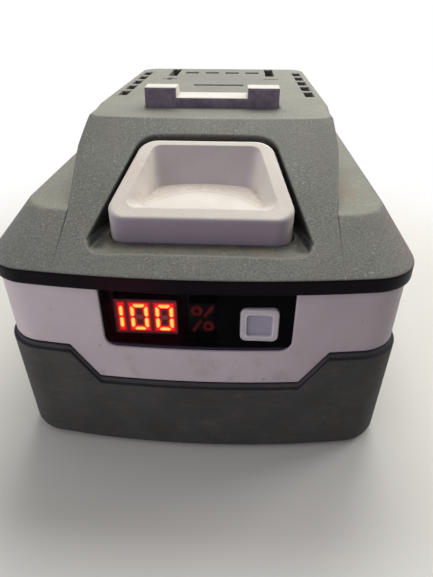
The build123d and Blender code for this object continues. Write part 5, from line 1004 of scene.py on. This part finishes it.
class BATTERYPACK_OT_grit(Operator):
    """Scatters grains of grit over the pocket's floor in front of the release button"""

    bl_idname = "batterypack.grit"
    bl_label = "Grit in the pocket"

    def execute(self, context):
        sizes = context.scene.battery_pack.sizes
        f = Finish("pale_grit")
        shade = f.noise(1.1 * MM, 1.0)
        f.set(Base_Color=f.mix(shade.ramp(0.35, 0.65), (0.16, 0.12, 0.08), (0.72, 0.66, 0.52)),
              Roughness=0.45)
        half = POCKET_HALF_WIDTH - GRIT_SIDE_MARGIN
        front, rear = POCKET_FRONT + GRIT_FRONT_MARGIN, BUTTON_FACE - GRIT_REAR_MARGIN
        corners = [(-half, front), (half, front), (half - GRIT_TAPER, rear), (GRIT_TAPER - half, rear)]
        mesh = bpy.data.meshes.new("pocket_floor")
        mesh.from_pydata([(x, y, POCKET_FLOOR + GRIT_LIFT) for x, y in corners], [], [(0, 1, 2, 3)])
        floor = bpy.data.objects.new("pocket_floor", mesh)
        context.scene.collection.objects.link(floor)
        area = sum(polygon.area for polygon in mesh.polygons)
        run_tree(floor, scatter_tree("scattered_grit", f),
                 {"Density": sizes.grit_count / area, "Size": sizes.grit_size, "Seed": GRIT_SEED})
        carry(baked(floor, "pocket_grit"), "case")
        return {"FINISHED"}


class BATTERYPACK_OT_studio(Operator):
    """Sets up the floor, the lamps, the world and the camera"""

    bl_idname = "batterypack.studio"
    bl_label = "Studio"

    def execute(self, context):
        sizes = context.scene.battery_pack.sizes
        context.scene.view_settings.view_transform = "Standard"
        make_floor()
        make_world(context.scene)
        for name, (place, width, colour) in LAMPS.items():
            make_lamp(name + "_lamp", place, width, getattr(sizes, name), colour)
        make_camera(context.scene)
        return {"FINISHED"}


def make_floor():
    """Pale floor that shows the pack's shadow and fades to white away from it."""
    mesh = bpy.data.meshes.new("studio_floor")
    corners = [(-1, -1), (1, -1), (1, 1), (-1, 1)]
    mesh.from_pydata([(x * FLOOR_REACH, y * FLOOR_REACH, 0) for x, y in corners], [], [(0, 1, 2, 3)])
    floor = bpy.data.objects.new("studio_floor", mesh)
    bpy.context.scene.collection.objects.link(floor)
    f = Finish("studio_floor")
    paper = f.noise(30 * MM, 3.0)
    away = (f.x * f.x + f.y * f.y) ** 0.5
    white = f.add("ShaderNodeEmission", {}, {"Color": WHITE, "Strength": 1.0})
    seen = f.ray("Is Camera Ray").most(f.ray("Is Glossy Ray")).most(f.ray("Is Transmission Ray"))
    pale = f.mix(paper, (0.80, 0.80, 0.80), (0.82, 0.82, 0.82))
    # Painted shade for the pack's right side: the floor is dark to the right and front for the light it
    # bounces, and pale where it is seen
    shaded = (f.x - 0.3 * f.y).ramp(*FLOOR_DIM) * (1.0 - seen)
    f.set(Base_Color=f.mix(shaded, pale, (0.08, 0.075, 0.085)), Roughness=0.9, Specular_IOR_Level=0.1)
    faded = f.add("ShaderNodeMixShader", {},
                  {0: away.ramp(*FLOOR_FADE) * seen, 1: f.shader.outputs[0], 2: white.outputs[0]})
    f.feed(f.output.inputs["Surface"], faded.outputs[0])
    mesh.materials.append(f.material)


def make_world(scene):
    """World: white where it is seen, brighter behind and above the pack than in front for its light."""
    world = bpy.data.worlds.new("studio_world")
    world.use_nodes = True
    scene.world = world
    g = Graph(world.node_tree)
    direction = g.add("ShaderNodeTexCoord").outputs["Generated"]
    apart = g.add("ShaderNodeSeparateXYZ", {}, {0: direction})
    behind = Sock(g, apart.outputs[1]).ramp(-0.75, 0.55)
    above = Sock(g, apart.outputs[2]).ramp(-0.1, 0.9)
    right = Sock(g, apart.outputs[0]).ramp(-0.1, 0.8)
    front = g.mix(right, (0.070, 0.058, 0.082), (0.006, 0.005, 0.008))
    light = g.mix(behind.most(above * 0.8), front, (0.48, 0.47, 0.43))
    mirrored = g.mix(behind.most(above * 0.7), (0.05, 0.045, 0.055), (1.0, 1.0, 0.97))
    glossy = g.ray("Is Glossy Ray")
    seen = g.ray("Is Camera Ray").most(g.ray("Is Transmission Ray"))
    colour = g.mix(seen, g.mix(glossy, light, mirrored), WHITE)
    g.feed(world.node_tree.nodes["Background"].inputs["Color"], colour)


def make_lamp(name, place, width, power, colour):
    """Square soft lamp that points at the pack."""
    lamp = bpy.data.lights.new(name, "AREA")
    lamp.size = width
    lamp.energy = power
    lamp.color = colour
    obj = bpy.data.objects.new(name, lamp)
    aim = Vector(LAMP_AIM) - Vector(place)
    obj.matrix_world = Matrix.Translation(place) @ aim.to_track_quat("-Z", "Y").to_matrix().to_4x4()
    bpy.context.scene.collection.objects.link(obj)


def make_camera(scene):
    """Camera at the photograph's place and angle."""
    camera = bpy.data.cameras.new("photo_camera")
    camera.sensor_width = SENSOR
    camera.lens = CAMERA_FOCAL_PX * SENSOR / PHOTO_HEIGHT_PX
    camera.clip_start = CLIP_START
    camera.clip_end = CLIP_END
    level = Vector((-math.sin(CAMERA_YAW), math.cos(CAMERA_YAW), 0.0))
    right = Vector((math.cos(CAMERA_YAW), math.sin(CAMERA_YAW), 0.0))
    forward = math.cos(CAMERA_PITCH) * level - math.sin(CAMERA_PITCH) * Vector(UP)
    top = math.sin(CAMERA_PITCH) * level + math.cos(CAMERA_PITCH) * Vector(UP)
    rolled_right = math.cos(CAMERA_ROLL) * right + math.sin(CAMERA_ROLL) * top
    rolled_top = math.cos(CAMERA_ROLL) * top - math.sin(CAMERA_ROLL) * right
    turned = Matrix((rolled_right, rolled_top, -forward)).transposed().to_4x4()
    obj = bpy.data.objects.new("photo_camera", camera)
    obj.matrix_world = Matrix.Translation(Vector(CAMERA_PLACE) * MM) @ turned
    scene.collection.objects.link(obj)
    scene.camera = obj


class BatteryPackSettings(PropertyGroup):
    """All settings of the pack's finishes."""

    colours: PointerProperty(type=BatteryPackColours, name="Colours", description="Colours of the pack")
    sizes: PointerProperty(type=BatteryPackSizes, name="Sizes", description="Sizes and lamp strengths")


OPERATORS = (BATTERYPACK_OT_shells, BATTERYPACK_OT_latch, BATTERYPACK_OT_display, BATTERYPACK_OT_cells,
             BATTERYPACK_OT_board, BATTERYPACK_OT_grit, BATTERYPACK_OT_studio)


class BATTERYPACK_PT_finishes(Panel):
    """Lists the pack's finishing steps and their settings"""

    bl_idname = "BATTERYPACK_PT_finishes"
    bl_label = "Battery Pack"
    bl_space_type = "VIEW_3D"
    bl_region_type = "UI"
    bl_category = "Battery Pack"

    def draw(self, context):
        pack = context.scene.battery_pack
        for group in (pack.colours, pack.sizes):
            for name in group.bl_rna.properties.keys():
                if name not in ("rna_type", "name"):
                    self.layout.prop(group, name)
        for operator in OPERATORS:
            self.layout.operator(operator.bl_idname)


CLASSES = (BatteryPackColours, BatteryPackSizes, BatteryPackSettings, *OPERATORS, BATTERYPACK_PT_finishes)


def register():
    """Registers the classes and the scene's settings."""
    for each in CLASSES:
        bpy.utils.register_class(each)
    bpy.types.Scene.battery_pack = PointerProperty(type=BatteryPackSettings)


def unregister():
    """Takes the settings and the classes away again."""
    del bpy.types.Scene.battery_pack
    for each in reversed(CLASSES):
        bpy.utils.unregister_class(each)


def main():
    """Runs every step in order."""
    register()
    bpy.ops.batterypack.shells()
    bpy.ops.batterypack.latch()
    bpy.ops.batterypack.display()
    bpy.ops.batterypack.cells()
    bpy.ops.batterypack.board()
    bpy.ops.batterypack.grit()
    bpy.ops.batterypack.studio()


if __name__ == "__main__":
    main()
